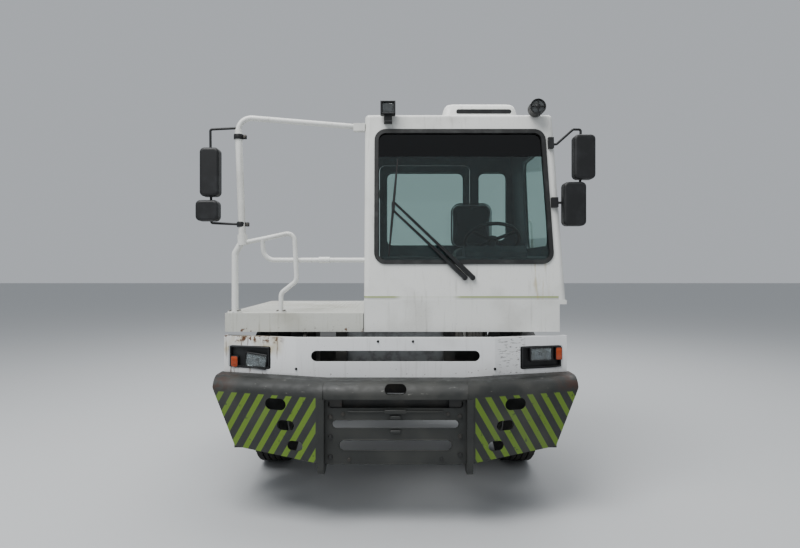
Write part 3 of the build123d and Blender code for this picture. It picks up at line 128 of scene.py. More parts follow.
def blotches(tree, size_mm, edges, stretch=(1, 1, 1), detail=4.0, roughness=0.55):
    """A mask from noise whose features are size_mm across, cut from 0 to 1 between two edges."""
    noise = put(
        tree, "TexNoise", {"Vector": place(tree, stretch)},
        {"Scale": 1000 / size_mm, "Detail": detail, "Roughness": roughness},
    )
    low, high = edges
    return put(
        tree, "MapRange", {"Value": noise.outputs["Fac"]}, {"From Min": low, "From Max": high},
        interpolation_type="SMOOTHSTEP",
    ).outputs["Result"]


def between(tree, axis, low, high, soft):
    """A mask that is 1 where the object coordinate on an axis lies from low to high."""
    split = put(tree, "SeparateXYZ", {"Vector": place(tree)}).outputs[axis]
    rise = put(
        tree, "MapRange", {"Value": split}, {"From Min": low - soft, "From Max": low + soft},
        interpolation_type="SMOOTHSTEP",
    ).outputs["Result"]
    fall = put(
        tree, "MapRange", {"Value": split},
        {"From Min": high - soft, "From Max": high + soft, "To Min": 1.0, "To Max": 0.0},
        interpolation_type="SMOOTHSTEP",
    ).outputs["Result"]
    return times(tree, rise, fall)


def times(tree, *masks):
    """The product of masks, each a socket or a number."""
    result = masks[0]
    for mask in masks[1:]:
        node = put(tree, "Math", {0: result}, operation="MULTIPLY")
        if isinstance(mask, (int, float)):
            node.inputs[1].default_value = mask
        else:
            tree.links.new(mask, node.inputs[1])
        result = node.outputs[0]
    return result


def over(tree, base, colour, mask):
    """A colour laid over a base where the mask says; base is a socket or a linear colour."""
    node = put(tree, "Mix", {0: mask}, {7: colour}, data_type="RGBA")
    if isinstance(base, tuple):
        node.inputs[6].default_value = base
    else:
        tree.links.new(base, node.inputs[6])
    return node.outputs[2]


def ranged(tree, mask, low, high):
    """A mask's 0 to 1 turned into a value from low to high."""
    return put(tree, "MapRange", {"Value": mask}, {"To Min": low, "To Max": high}).outputs["Result"]


def relief(tree, shader, height, depth_mm, strength=1.0):
    """Bump of a height mask, depth_mm deep, on a shader."""
    bump = put(
        tree, "Bump", {"Height": height}, {"Distance": depth_mm / 1000, "Strength": strength}
    )
    tree.links.new(bump.outputs["Normal"], shader.inputs["Normal"])


# %% [markdown]
# ## White cab paint
# Two-pack enamel on sheet steel, sprayed, then left outdoors for years. It keeps a soft gloss, but
# rain leaves grey streaks that run down between clouds of dirt and small specks. The streaks are
# noise that is stretched along Z. Inside the cab the same panels carry a dark lining. It could be a second
# skin, but a mask of six planes set 15 mm inside the panels' outer faces does it in one material.
# The same mask also darkens the door gap edges and the window reveals, which is painted shade there.

# %% White paint
CAB_BASE_Z = 1.454
CAB_FRONT_Y = -2.360
DOOR_SIDE_X = 1.226
DOOR_SIDE_LEAN = 0.04466
CAB_INSIDE = [
    ((0, 1, -0.10249), -2.4940), ((1, 0, 0), -0.2120), ((-1, 0, -DOOR_SIDE_LEAN), -1.2759), ((0, -1, 0), 0.8150),
    ((0, 0, 1), 1.4560), ((0, 0, -1), -2.7900),
]


def inside(tree, planes):
    """A mask that is 1 past every plane: the dot product of a normal and the place beats its offset."""
    where = place(tree)
    masks = []
    for normal, offset in planes:
        depth = put(tree, "VectorMath", {0: where}, {1: normal}, operation="DOT_PRODUCT").outputs["Value"]
        masks.append(put(
            tree, "MapRange", {"Value": depth}, {"From Min": offset, "From Max": offset + 0.001}
        ).outputs["Result"])
    return times(tree, *masks)


def weather(tree, base, dirt="#8d8b80", amount=0.55):
    """Paint with large cloudy dirt, fine upright rain streaks and small brown specks."""
    clouds = times(tree, blotches(tree, 420, (0.48, 0.72)), 0.55 * amount)
    streaks = times(tree, blotches(tree, 26, (0.55, 0.80), (1, 1, 0.06)), 0.75 * amount)
    specks = times(tree, blotches(tree, 9, (0.64, 0.72)), 0.6 * amount)
    colour = over(tree, base, linear(dirt), clouds)
    colour = over(tree, colour, linear(dirt), streaks)
    return over(tree, colour, linear("#6d6455"), specks)


def white_paint(name="white_enamel", code="#dfe0dc"):
    """Aged white enamel outside, dark moulded lining inside the cab's planes, and painted shade on door gap edges."""
    material, tree, shader = new_material(name, IOR=1.5, Coat_Weight=0.25, Coat_Roughness=0.2)
    # Dark lining colour for faces inside the cab; the same mask lays it as painted shade on door gap edges and window
    # reveals.
    lining_and_gap_shade_colour = over(tree, linear("#4b575e"), linear("#66716f"), times(tree, blotches(tree, 60, (0.4, 0.7)), 0.35))
    lining_and_gap_shade = inside(tree, CAB_INSIDE)
    colour = put(tree, "Mix", {0: lining_and_gap_shade, 6: weather(tree, linear(code)), 7: lining_and_gap_shade_colour}, data_type="RGBA").outputs[2]
    tree.links.new(colour, shader.inputs["Base Color"])
    tree.links.new(ranged(tree, lining_and_gap_shade, 0.38, 0.8), shader.inputs["Roughness"])
    relief(tree, shader, blotches(tree, 14, (0.2, 0.8)), 0.25, 0.35)
    return material


CAB_LINE_Z = 1.476
CAB_LINE_HALF = 0.006


def cab_front_paint():
    """The white enamel with the thin lime line and the darker line under it, bare in the middle."""
    material = white_paint("white_enamel_front")
    tree = material.node_tree
    shader = tree.nodes["Principled BSDF"]
    colour = shader.inputs["Base Color"].links[0].from_socket
    front = between(tree, "X", -0.24, 1.17, 0.003)
    kept = times(tree, front, ranged(tree, between(tree, "X", 0.02, 0.44, 0.04), 1.0, 0.15))
    line = times(tree, between(tree, "Z", CAB_LINE_Z - CAB_LINE_HALF, CAB_LINE_Z + CAB_LINE_HALF, 0.001), kept)
    shade = times(tree, between(tree, "Z", CAB_LINE_Z - 3 * CAB_LINE_HALF, CAB_LINE_Z - CAB_LINE_HALF, 0.001), kept)
    colour = over(tree, colour, linear("#8b9a55"), times(tree, line, 0.9))
    colour = over(tree, colour, linear("#8a8c86"), times(tree, shade, 0.55))
    stain = times(
        tree, blotches(tree, 30, (0.50, 0.66), (1, 1, 0.05)), between(tree, "Z", 1.45, 1.72, 0.04),
        between(tree, "X", 0.98, 1.09, 0.03), 0.6,
    )
    colour = over(tree, colour, linear("#a9995c"), stain)
    tree.links.new(colour, shader.inputs["Base Color"])
    return material


# %% [markdown]
# ## Panel paint with rust
# The panel over the bumper is knocked and scratched. Rust starts at its top edge above the dropped
# lamp and runs down from there. A mask by height picks the edge, noise breaks it up, and the
# rust is rough where the paint is glossy.

# %% Rusted panel paint
RUST = "#5b3b22"
STAIN = "#b7a878"


def panel_paint():
    """White enamel that has rust at the top edge over the -X lamp and scratches at the +X end."""
    material, tree, shader = new_material("white_enamel_panel", IOR=1.5, Coat_Weight=0.2, Coat_Roughness=0.25)
    colour = weather(tree, linear("#e9eaea"), amount=0.4)
    edge = times(tree, blotches(tree, 34, (0.50, 0.58)), between(tree, "Z", 1.160, 1.25, 0.015))
    lamp_side = between(tree, "X", -1.25, -0.80, 0.05)
    runs = times(tree, blotches(tree, 16, (0.56, 0.68), (1, 1, 0.08)), lamp_side, 0.8)
    freckles = times(tree, blotches(tree, 22, (0.66, 0.72)), between(tree, "Z", 0.9, 0.99, 0.03))
    rust = put(
        tree, "Math", {0: times(tree, edge, lamp_side), 1: put(
            tree, "Math", {0: runs, 1: freckles}, operation="MAXIMUM").outputs[0]},
        operation="MAXIMUM",
    ).outputs[0]
    scratches = times(
        tree, blotches(tree, 12, (0.58, 0.62), (0.12, 1, 1.6)), between(tree, "X", 0.72, 0.90, 0.03), 0.8
    )
    soft_stain = times(tree, blotches(tree, 150, (0.35, 0.62)), between(tree, "Z", 1.08, 1.25, 0.03), lamp_side, 0.7)
    colour = over(tree, colour, linear(STAIN), soft_stain)
    colour = over(tree, colour, linear("#5d5a55"), scratches)
    colour = over(tree, colour, linear(RUST), rust)
    tree.links.new(colour, shader.inputs["Base Color"])
    tree.links.new(ranged(tree, rust, 0.36, 0.85), shader.inputs["Roughness"])
    relief(tree, shader, rust, 0.6, 0.6)
    return material


# %% [markdown]
# ## Bumper paint
# Dark grey enamel with lime warning stripes at 60 degrees, one way on each wing. The stripes are a
# repeat of one number, the distance measured across them, worked out from X and Z. The roll along
# the top is scuffed, and its outer corners are rusty.

# %% Bumper paint
STRIPE_PITCH = 0.097
STRIPE_SHARE = 0.43
STRIPE_SLOPE = 1 / math.tan(math.radians(60))
WING_SLOPE = 0.230 / 0.750
WING_FACE = -2.790 - 0.500 * WING_SLOPE


def bumper_paint():
    """Dark enamel with slanting lime stripes on the wings only, scuffs and rusty corners."""
    material, tree, shader = new_material("striped_enamel", IOR=1.5)
    split = put(tree, "SeparateXYZ", {"Vector": place(tree)})
    out = put(tree, "Math", {0: split.outputs["X"]}, operation="ABSOLUTE").outputs[0]
    slant = put(tree, "Math", {0: split.outputs["Z"]}, {1: STRIPE_SLOPE}, operation="MULTIPLY").outputs[0]
    across = put(tree, "Math", {0: out, 1: slant}, operation="ADD").outputs[0]
    turn = put(tree, "Math", {0: across}, {1: STRIPE_PITCH}, operation="DIVIDE").outputs[0]
    saw = put(tree, "Math", {0: turn}, operation="FRACT").outputs[0]
    stripe = put(
        tree, "MapRange", {"Value": saw}, {"From Min": STRIPE_SHARE - 0.01, "From Max": STRIPE_SHARE + 0.01,
                                           "To Min": 1.0, "To Max": 0.0},
    ).outputs["Result"]
    wing = put(tree, "MapRange", {"Value": out}, {"From Min": 0.512, "From Max": 0.516}).outputs["Result"]
    sweep = put(tree, "Math", {0: out}, {1: WING_SLOPE}, operation="MULTIPLY").outputs[0]
    depth = put(tree, "Math", {0: split.outputs["Y"], 1: sweep}, operation="SUBTRACT").outputs[0]
    skin = put(
        tree, "MapRange", {"Value": depth},
        {"From Min": WING_FACE + 0.002, "From Max": WING_FACE + 0.004, "To Min": 1.0, "To Max": 0.0},
    ).outputs["Result"]
    face = between(tree, "Z", 0.40, 0.846, 0.004)
    stripe = times(tree, stripe, wing, face, skin)
    worn = ranged(tree, blotches(tree, 34, (0.60, 0.74)), 1.0, 0.25)
    colour = over(tree, linear("#222422"), linear("#5b7817"), times(tree, stripe, worn))
    dust = times(tree, blotches(tree, 240, (0.42, 0.72)), 0.22)
    colour = over(tree, colour, linear("#5b5a54"), dust)
    scuff = times(tree, blotches(tree, 15, (0.66, 0.74), (0.25, 1, 1)), between(tree, "Z", 0.86, 0.95, 0.02), 0.6)
    colour = over(tree, colour, linear("#8d8c86"), scuff)
    ends = put(tree, "MapRange", {"Value": out}, {"From Min": 1.06, "From Max": 1.20}).outputs["Result"]
    rust = times(tree, blotches(tree, 45, (0.40, 0.56)), ends, between(tree, "Z", 0.86, 0.95, 0.02))
    colour = over(tree, colour, linear("#33221a"), rust)
    tree.links.new(colour, shader.inputs["Base Color"])
    tree.links.new(ranged(tree, blotches(tree, 60, (0.3, 0.7)), 0.42, 0.66), shader.inputs["Roughness"])
    relief(tree, shader, blotches(tree, 11, (0.3, 0.8)), 0.4, 0.4)
    return material


# %% [markdown]
# ## Metals, rubber and plastics
# Each comes from what it is: chassis enamel under road dust, cast iron with a rough sand-cast skin,
# oiled steel, hard chrome on the lift rods, silver wheel enamel, tyre rubber greyed by dust, moulded ABS.

# %% Metals
def chassis_paint():
    """Black chassis enamel under a film of road dust, rusty where it has chipped."""
    material, tree, shader = new_material("chassis_enamel", IOR=1.5)
    colour = over(tree, linear("#191a19"), linear("#4c473f"), times(tree, blotches(tree, 160, (0.40, 0.75)), 0.45))
    chips = blotches(tree, 28, (0.66, 0.72))
    colour = over(tree, colour, linear("#3f281b"), chips)
    tree.links.new(colour, shader.inputs["Base Color"])
    tree.links.new(ranged(tree, chips, 0.5, 0.85), shader.inputs["Roughness"])
    relief(tree, shader, blotches(tree, 8, (0.3, 0.7)), 0.3, 0.4)
    return material


def cast_iron():
    """Painted cast iron: dark, rough with a 3 mm sand grain, and dusty."""
    material, tree, shader = new_material("cast_iron", Roughness=0.72, Metallic=0.2)
    colour = over(tree, linear("#232322"), linear("#4f483f"), times(tree, blotches(tree, 90, (0.42, 0.7)), 0.5))
    tree.links.new(colour, shader.inputs["Base Color"])
    relief(tree, shader, blotches(tree, 3, (0.3, 0.7)), 0.5, 0.5)
    return material


def oiled_steel():
    """Bare steel with dark grease smears and fine turning marks."""
    material, tree, shader = new_material("oiled_steel", Metallic=1.0)
    grease = blotches(tree, 190, (0.30, 0.78))
    colour = over(tree, linear("#6f6c67"), linear("#34302c"), times(tree, grease, 0.8))
    tree.links.new(colour, shader.inputs["Base Color"])
    tree.links.new(ranged(tree, grease, 0.34, 0.55), shader.inputs["Roughness"])
    relief(tree, shader, blotches(tree, 4, (0.3, 0.7), (0.1, 1, 1)), 0.15, 0.3)
    return material


def hard_chrome():
    """Hard chrome on a hydraulic rod: a near mirror with a faint oil film."""
    material, tree, shader = new_material("hard_chrome", Metallic=1.0, Base_Color=linear("#c9cbcc"))
    tree.links.new(ranged(tree, blotches(tree, 30, (0.4, 0.7)), 0.06, 0.16), shader.inputs["Roughness"])
    return material


def aluminium():
    """Mill aluminium, dull and slightly brushed."""
    material, tree, shader = new_material("mill_aluminium", Metallic=1.0, Roughness=0.42)
    colour = over(tree, linear("#a9abac"), linear("#6c6b67"), times(tree, blotches(tree, 60, (0.4, 0.7)), 0.6))
    tree.links.new(colour, shader.inputs["Base Color"])
    relief(tree, shader, blotches(tree, 5, (0.3, 0.7), (0.1, 1, 1)), 0.1, 0.3)
    return material


def wheel_enamel():
    """Silver grey wheel enamel with brake dust."""
    material, tree, shader = new_material("wheel_enamel", Roughness=0.45, Metallic=0.35)
    colour = over(tree, linear("#9c9d9a"), linear("#4a443c"), times(tree, blotches(tree, 70, (0.42, 0.72)), 0.75))
    tree.links.new(colour, shader.inputs["Base Color"])
    relief(tree, shader, blotches(tree, 10, (0.3, 0.7)), 0.2, 0.3)
    return material


# %% Rubber and plastics
def tyre_rubber():
    """Carbon-black rubber, matt, with grey dust that fills the sides."""
    material, tree, shader = new_material("tyre_rubber", Roughness=0.85, IOR=1.52, Specular_IOR_Level=0.3)
    colour = over(tree, linear("#272726"), linear("#514d47"), times(tree, blotches(tree, 210, (0.28, 0.86)), 0.5))
    tree.links.new(colour, shader.inputs["Base Color"])
    relief(tree, shader, blotches(tree, 4, (0.3, 0.7)), 0.3, 0.4)
    return material


def plain_rubber():
    """Extruded EPDM seal: black and satin, chalky in places."""
    material, tree, shader = new_material("epdm_rubber", Roughness=0.6, IOR=1.5)
    colour = over(tree, linear("#161717"), linear("#3c3d3c"), times(tree, blotches(tree, 70, (0.45, 0.75)), 0.6))
    tree.links.new(colour, shader.inputs["Base Color"])
    relief(tree, shader, blotches(tree, 3, (0.3, 0.7)), 0.1, 0.3)
    return material


def moulded_plastic(name, code, bloom, roughness=0.5):
    """Moulded ABS with a fine spark-eroded grain and a sun-bleached bloom."""
    material, tree, shader = new_material(name, Roughness=roughness, IOR=1.46)
    colour = over(tree, linear(code), linear(bloom), times(tree, blotches(tree, 90, (0.42, 0.75)), 0.6))
    tree.links.new(colour, shader.inputs["Base Color"])
    relief(tree, shader, blotches(tree, 1.6, (0.3, 0.7)), 0.08, 0.5)
    return material


def platform_paint():
    """Light grey enamel on the walkway and its apron, with tread-worn dirt."""
    material, tree, shader = new_material("grey_enamel", Roughness=0.5, IOR=1.5)
    colour = weather(tree, linear("#c2c3bb"), "#87826f", 0.75)
    rust = times(tree, blotches(tree, 60, (0.60, 0.68)), between(tree, "Z", 1.22, 1.26, 0.02))
    colour = over(tree, colour, linear(RUST), rust)
    tree.links.new(colour, shader.inputs["Base Color"])
    relief(tree, shader, blotches(tree, 12, (0.3, 0.7)), 0.3, 0.3)
    return material


def lamp_plastic(name, code, tail_code):
    """Clear-coloured acrylic lamp cover, glossy, a little light passing through; red at the rear."""
    material, tree, shader = new_material(
        name, Roughness=0.18, IOR=1.49, Coat_Weight=0.5, Transmission_Weight=0.25
    )
    colour = over(tree, linear(code), linear(tail_code), between(tree, "Y", 2.0, 3.0, 0.01))
    colour = over(tree, colour, linear("#3b2a18"), times(tree, blotches(tree, 25, (0.5, 0.8)), 0.35))
    tree.links.new(colour, shader.inputs["Base Color"])
    return material


# %% [markdown]
# ## Glass
# Laminated safety glass: a clear pane with a faint green tint. It is a closed slab, so the light
# bends in and out again as in a real pane. The windscreen has a darker band at its top, which is
# a mask by height on the tint.

# %% Glass
BAND_Z = 2.505


def safety_glass():
    """Tinted glass with a shade band above a height."""
    material, tree, shader = new_material("laminated_glass", Roughness=0.0, IOR=1.45, Transmission_Weight=1.0)
    band = times(tree, between(tree, "Z", BAND_Z, 3.0, 0.004), between(tree, "Y", -2.4, -2.2, 0.01))
    colour = over(tree, linear("#cfe3df"), linear("#101418"), band)
    tree.links.new(colour, shader.inputs["Base Color"])
    return material


def clear_lens():
    """Pressed clear lamp glass."""
    material, tree, shader = new_material("pressed_glass", Roughness=0.05, IOR=1.5, Transmission_Weight=0.9)
    colour = over(tree, linear("#c3cacc"), linear("#8e8d84"), times(tree, blotches(tree, 40, (0.4, 0.7)), 0.5))
    tree.links.new(colour, shader.inputs["Base Color"])
    return material


# %% Seat cloth
WEAVE_SCALE = 165


def seat_cloth():
    """Woven polyester: two sets of dark threads that cross, about 2 mm apart."""
    material, tree, shader = new_material("woven_polyester", Roughness=0.9, Sheen_Weight=0.35)
    weave = put(
        tree, "TexWave", {"Vector": place(tree)}, {"Scale": WEAVE_SCALE, "Distortion": 1.5, "Detail": 2.0},
        bands_direction="X",
    ).outputs["Fac"]
    cross = put(
        tree, "TexWave", {"Vector": place(tree)}, {"Scale": WEAVE_SCALE, "Distortion": 1.5, "Detail": 2.0},
        bands_direction="Z",
    ).outputs["Fac"]
    threads = times(tree, weave, cross)
    colour = over(tree, linear("#24282c"), linear("#4b5157"), threads)
    tree.links.new(colour, shader.inputs["Base Color"])
    relief(tree, shader, threads, 0.6, 0.5)
    return material


# %% [markdown]
# ## Dress the CAD nodes
# Each node of the frame already has its real shape. It gets the material made for it, by the slot
# that the record names, and a few nodes get one of their own.

# %% Give every node its material
BY_SLOT = {
    "white_paint": white_paint(),
    "grey_paint": platform_paint(),
    "dark_paint": chassis_paint(),
    "bumper_paint": bumper_paint(),
    "cast_iron": cast_iron(),
    "steel": oiled_steel(),
    "chrome": hard_chrome(),
    "wheel_paint": wheel_enamel(),
    "tyre_rubber": tyre_rubber(),
    "seal_rubber": plain_rubber(),
    "black_plastic": moulded_plastic("black_abs", "#141516", "#2a2c2e"),
    "grey_plastic": moulded_plastic("grey_abs", "#262b30", "#41474c", 0.6),
    "amber_plastic": lamp_plastic("amber_acrylic", "#c24a0c", "#a01410"),
    "clear_lens": clear_lens(),
    "cab_glazing": safety_glass(),
    "seat_cloth": seat_cloth(),
    "aluminium": aluminium(),
}
BY_NODE = {"cab_front_wall": cab_front_paint(), "front_panel": panel_paint()}
slot_of = {row["node"]: row["material_slot"] for row in frame["record"]["subparts"]}
for name, node in frame["nodes"].items():
    material = BY_NODE.get(name) or BY_SLOT[slot_of[name]]
    node.data.materials.clear()
    node.data.materials.append(material)
print(len(frame["nodes"]), "nodes dressed")

# %% [markdown]
# ## Surfaces from formulas
# Small hardware, tread, lamp optics and trim are added as surfaces. A surface is a function of two
# numbers: walk along the rows, walk along the columns, and every pair gives a point. Neighbours on
# that sheet are joined by four-sided faces. Primitive shapes could be stretched and joined by hand,
# but a formula keeps its sizes readable, and one change of a number moves every copy.

# %% Helpers for surfaces
def sheet(points, wrap_rows=False, wrap_columns=False):
    """(points, faces) of a rows x columns x 3 grid: each face joins a point to its next neighbours."""
    rows, columns = points.shape[:2]
    index = np.arange(rows * columns).reshape(rows, columns)
    if wrap_rows:
        index = np.vstack([index, index[:1]])
    if wrap_columns:
        index = np.hstack([index, index[:, :1]])
    faces = np.stack([index[:-1, :-1], index[:-1, 1:], index[1:, 1:], index[1:, :-1]], -1)
    return points.reshape(-1, 3), faces.reshape(-1, 4)


def joined(shapes):
    """Several (points, faces) as one: each shape's face numbers start after the points before it."""
    starts = np.cumsum([0] + [len(points) for points, _ in shapes[:-1]])
    return (
        np.vstack([points for points, _ in shapes]),
        np.vstack([faces + start for (_, faces), start in zip(shapes, starts)]),
    )


def axes_to(out, up=(0, 0, 1)):
    """A 3 x 3 turn whose columns are the right, the way out and up: local y goes along out."""
    out = np.array(out, float) / np.linalg.norm(out)
    up = np.array(up, float)
    right = np.cross(out, up)
    right = right / np.linalg.norm(right)
    return np.stack([right, out, np.cross(right, out)], 1)


def put_at(shape, place, turn=np.eye(3)):
    """A shape turned, then moved: every point becomes turn times point, plus the place."""
    points, faces = shape
    return points @ np.asarray(turn).T + np.array(place), faces


def lathe(profile, sides=24):
    """A solid of revolution about local y: each (radius, height) turns through a full circle."""
    radius, height = np.array(profile, float).T
    turn = np.linspace(0, 2 * np.pi, sides, endpoint=False)
    x = radius[:, None] * np.cos(turn)
    z = radius[:, None] * np.sin(turn)
    y = np.broadcast_to(height[:, None], x.shape)
    return sheet(np.stack([x, y, z], -1), wrap_columns=True)


def capped(grid):
    """A stack of outlines as a closed skin: the first and the last shrink to their middle."""
    ends = np.repeat(grid.mean(1, keepdims=True), grid.shape[1], 1)
    return sheet(np.concatenate([ends[:1], grid, ends[-1:]]), wrap_columns=True)


def corner_arcs(steps):
    """Round the four corners: the signs of the two directions and the angle at every point."""
    turn = np.radians(np.concatenate([np.linspace(a, a + 90, steps) for a in (0, 90, 180, 270)]))
    return np.repeat([1, -1, -1, 1], steps), np.repeat([1, 1, -1, -1], steps), turn


def plate(width, height, radius, layers, steps=5):
    """A round-cornered plate in x and z, built up along y from (inset, y) layers, closed at both ends.

    The outline goes round four corner arcs; an inset moves it inwards and takes that much off the
    corner radius. The first and the last layer shrink to the middle, which caps the plate.
    """
    sign_x, sign_z, turn = corner_arcs(steps)
    rows = []
    for inset, y in layers:
        r = max(radius - inset, 0.0)
        x = sign_x * (width / 2 - inset - r) + r * np.cos(turn)
        z = sign_z * (height / 2 - inset - r) + r * np.sin(turn)
        rows.append(np.stack([x, np.full_like(x, y), z], -1))
    return capped(np.array(rows))


def tube(path, radius, sides=12):
    """A round tube along a path: a circle of points stands square to the path at each of its points."""
    path = np.array(path, float)
    along = np.gradient(path, axis=0)
    along /= np.linalg.norm(along, axis=1)[:, None]
    spare = np.array((0.31, 0.47, 0.83))
    side = np.cross(along, spare)
    side /= np.linalg.norm(side, axis=1)[:, None]
    other = np.cross(along, side)
    turn = np.linspace(0, 2 * np.pi, sides, endpoint=False)
    ring = np.cos(turn)[None, :, None] * side[:, None] + np.sin(turn)[None, :, None] * other[:, None]
    return capped(path[:, None] + ring * radius)


def shown(name, mesh, slot, body, material=None):
    """Puts a mesh in the scene as an object on a body; its slot names the material unless one is given."""
    mesh.materials.append(material or BY_SLOT[slot])
    made = bpy.data.objects.new(name, mesh)
    bpy.context.collection.objects.link(made)
    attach(made, body)
    print(name, len(mesh.polygons), "faces")
    return made


def piece(name, shapes, slot, body="chassis", smooth_deg=35, material=None):
    """One object from shapes: doubles merged, faces turned outwards, edges sharper than an angle kept."""
    points, faces = joined(shapes)
    mesh = bpy.data.meshes.new(name)
    mesh.from_pydata(points.tolist(), [], faces.tolist())
    work = bmesh.new()
    work.from_mesh(mesh)
    bmesh.ops.remove_doubles(work, verts=work.verts, dist=2e-5)
    bmesh.ops.dissolve_degenerate(work, edges=work.edges, dist=1e-6)
    bmesh.ops.recalc_face_normals(work, faces=work.faces)
    work.to_mesh(mesh)
    work.free()
    mesh.shade_smooth()
    mesh.set_sharp_from_angle(angle=math.radians(smooth_deg))
    return shown(name, mesh, slot, body, material)


# %% [markdown]
# ## Tyres with their tread
# The frame's tyres are plain rings, which is all that rolling needs. The real ones have five ribs
# between zigzag grooves and notches cut into the shoulder. Image relief would look flat in side
# light, so the ring is made again as one surface: a section of 58 points goes round in 240 steps,
# and groove points swing to and fro as they go.

# %% Tyre surface
AXLE_Z = 0.525
FRONT_AXLE_Y, REAR_AXLE_Y = -1.35, 1.75
FRONT_WHEEL_X, OUTER_DUAL_X, INNER_DUAL_X = 1.030, 1.105, 0.785
TYRE_R = 0.525
PITCHES = 60
STEPS_A_PITCH = 4
GROOVES = (-0.066, -0.022, 0.022, 0.066)


def tyre_section():
    """Rows of (x, radius, zigzag share, notch depth): bead, side wall, shoulder, ribs, then mirrored."""
    rise = np.linspace(0, 1, 15)
    side_x = 0.108 + 0.1055 * rise - 0.0855 * rise**2
    side_r = 0.302 + 0.201 * rise
    ring = 0.0022 * (np.abs(rise - 0.14) < 0.03) + 0.0018 * (np.abs(rise - 0.78) < 0.04)
    wall = np.stack([side_x - ring, side_r, 0 * rise, 0 * rise], 1)
    shoulder = np.array([(0.1255, 0.5125, 0, 0.006), (0.1180, 0.5210, 0, 0.008), (0.106, TYRE_R, 0, 0.008),
                         (0.094, TYRE_R, 0, 0.0)])
    flank = np.vstack([[(0.104, 0.287, 0, 0), (0.108, 0.289, 0, 0)], wall, shoulder])
    ribs = []
    for middle in GROOVES:
        swing = 1.0 if abs(middle) < 0.05 else 0.6
        for offset, depth in ((-0.0065, 0.0), (-0.0045, 0.014), (0.0045, 0.014), (0.0065, 0.0)):
            ribs.append((middle + offset, TYRE_R - depth, swing, 0))
    left = flank * (-1, 1, 1, 1)
    return np.vstack([left, ribs, flank[::-1]])


def tyre_ring(x, y):
    """The section carried round the axle: radius = row's radius - notch, x = row's x + swing."""
    rows = tyre_section()
    steps = PITCHES * STEPS_A_PITCH
    phase = np.arange(steps) % STEPS_A_PITCH
    swing = np.array([0, 1, 0, -1])[phase] * 0.004
    notch = np.array([1, 1, 0, 0])[phase]
    turn = np.linspace(0, 2 * np.pi, steps, endpoint=False)
    radius = rows[:, 1, None] - rows[:, 3, None] * notch
    points = np.stack(
        [x + rows[:, 0, None] + rows[:, 2, None] * swing, y + radius * np.sin(turn), AXLE_Z + radius * np.cos(turn)],
        -1,
    )
    return sheet(points, wrap_rows=True, wrap_columns=True)


WHEELS = {
    "front_left": [(FRONT_WHEEL_X, FRONT_AXLE_Y)],
    "front_right": [(-FRONT_WHEEL_X, FRONT_AXLE_Y)],
    "rear_left": [(OUTER_DUAL_X, REAR_AXLE_Y), (INNER_DUAL_X, REAR_AXLE_Y)],
    "rear_right": [(-OUTER_DUAL_X, REAR_AXLE_Y), (-INNER_DUAL_X, REAR_AXLE_Y)],
}
for corner, places in WHEELS.items():
    ring = piece(
        "treaded_tyre_" + corner, [tyre_ring(*spot) for spot in places], "tyre_rubber", "wheel_" + corner, 28,
    )
    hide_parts("tyre_" + corner)

# %% [markdown]
# ## Wheel nuts
# Ten nuts hold each disc. One nut is a six-sided turned shape on a round washer, and a turn matrix
# copies it round the circle, which keeps all of them exactly alike.

# %% Nuts and bolts
def bolt(flats, height):
    """A hexagon head on a washer, along local y: a 20-sided disc, then a six-sided turned head."""
    r = flats / math.sqrt(3)
    washer = lathe([(0, 0), (1.25 * r, 0), (1.25 * r, 0.12 * r), (1.15 * r, 0.16 * r), (0, 0.16 * r)], 20)
    head = lathe([(0, 0.1 * r), (r, 0.1 * r), (r, 0.85 * height), (0.86 * r, height), (0, height)], 6)
    return joined([washer, head])


def bolt_circle(middle, out, circle_r, count, flats, height):
    """Bolts round a circle about a line: the angle of each is its number's share of a full turn."""
    turn = axes_to(out)
    shapes = []
    for angle in np.linspace(0, 2 * np.pi, count, endpoint=False):
        spot = turn @ np.array((circle_r * math.cos(angle), 0, circle_r * math.sin(angle)))
        shapes.append(put_at(bolt(flats, height), np.array(middle) + spot, turn))
    return joined(shapes)


for corner, places in WHEELS.items():
    x, y = places[0]
    side = 1 if x > 0 else -1
    if len(places) == 1:
        nuts = bolt_circle((x + side * 0.112, y, AXLE_Z), (side, 0, 0), 0.135, 10, 0.032, 0.027)
        cap = bolt_circle((x + side * 0.160, y, AXLE_Z), (side, 0, 0), 0.055, 6, 0.013, 0.008)
    else:
        middle = (OUTER_DUAL_X + INNER_DUAL_X) / 2
        nuts = bolt_circle((side * (middle + 0.010), y, AXLE_Z), (side, 0, 0), 0.157, 10, 0.030, 0.034)
        cap = bolt_circle((side * (middle + 0.150), y, AXLE_Z), (side, 0, 0), 0.070, 8, 0.013, 0.008)
    piece("wheel_nuts_" + corner, [nuts, cap], "steel", "wheel_" + corner)

# %% [markdown]
# ## Seat pads
# The driver's seat is a foam cushion and back in woven cloth. The frame only holds plain blocks. A
# pad starts as a slightly smaller rounded slab, is remeshed finely, and then blown up a little by
# a cloth solver with pressure inside, which crowns the faces and rounds the corners as foam does.
# Points may move at most 22 mm, so the pad stays where the block is.

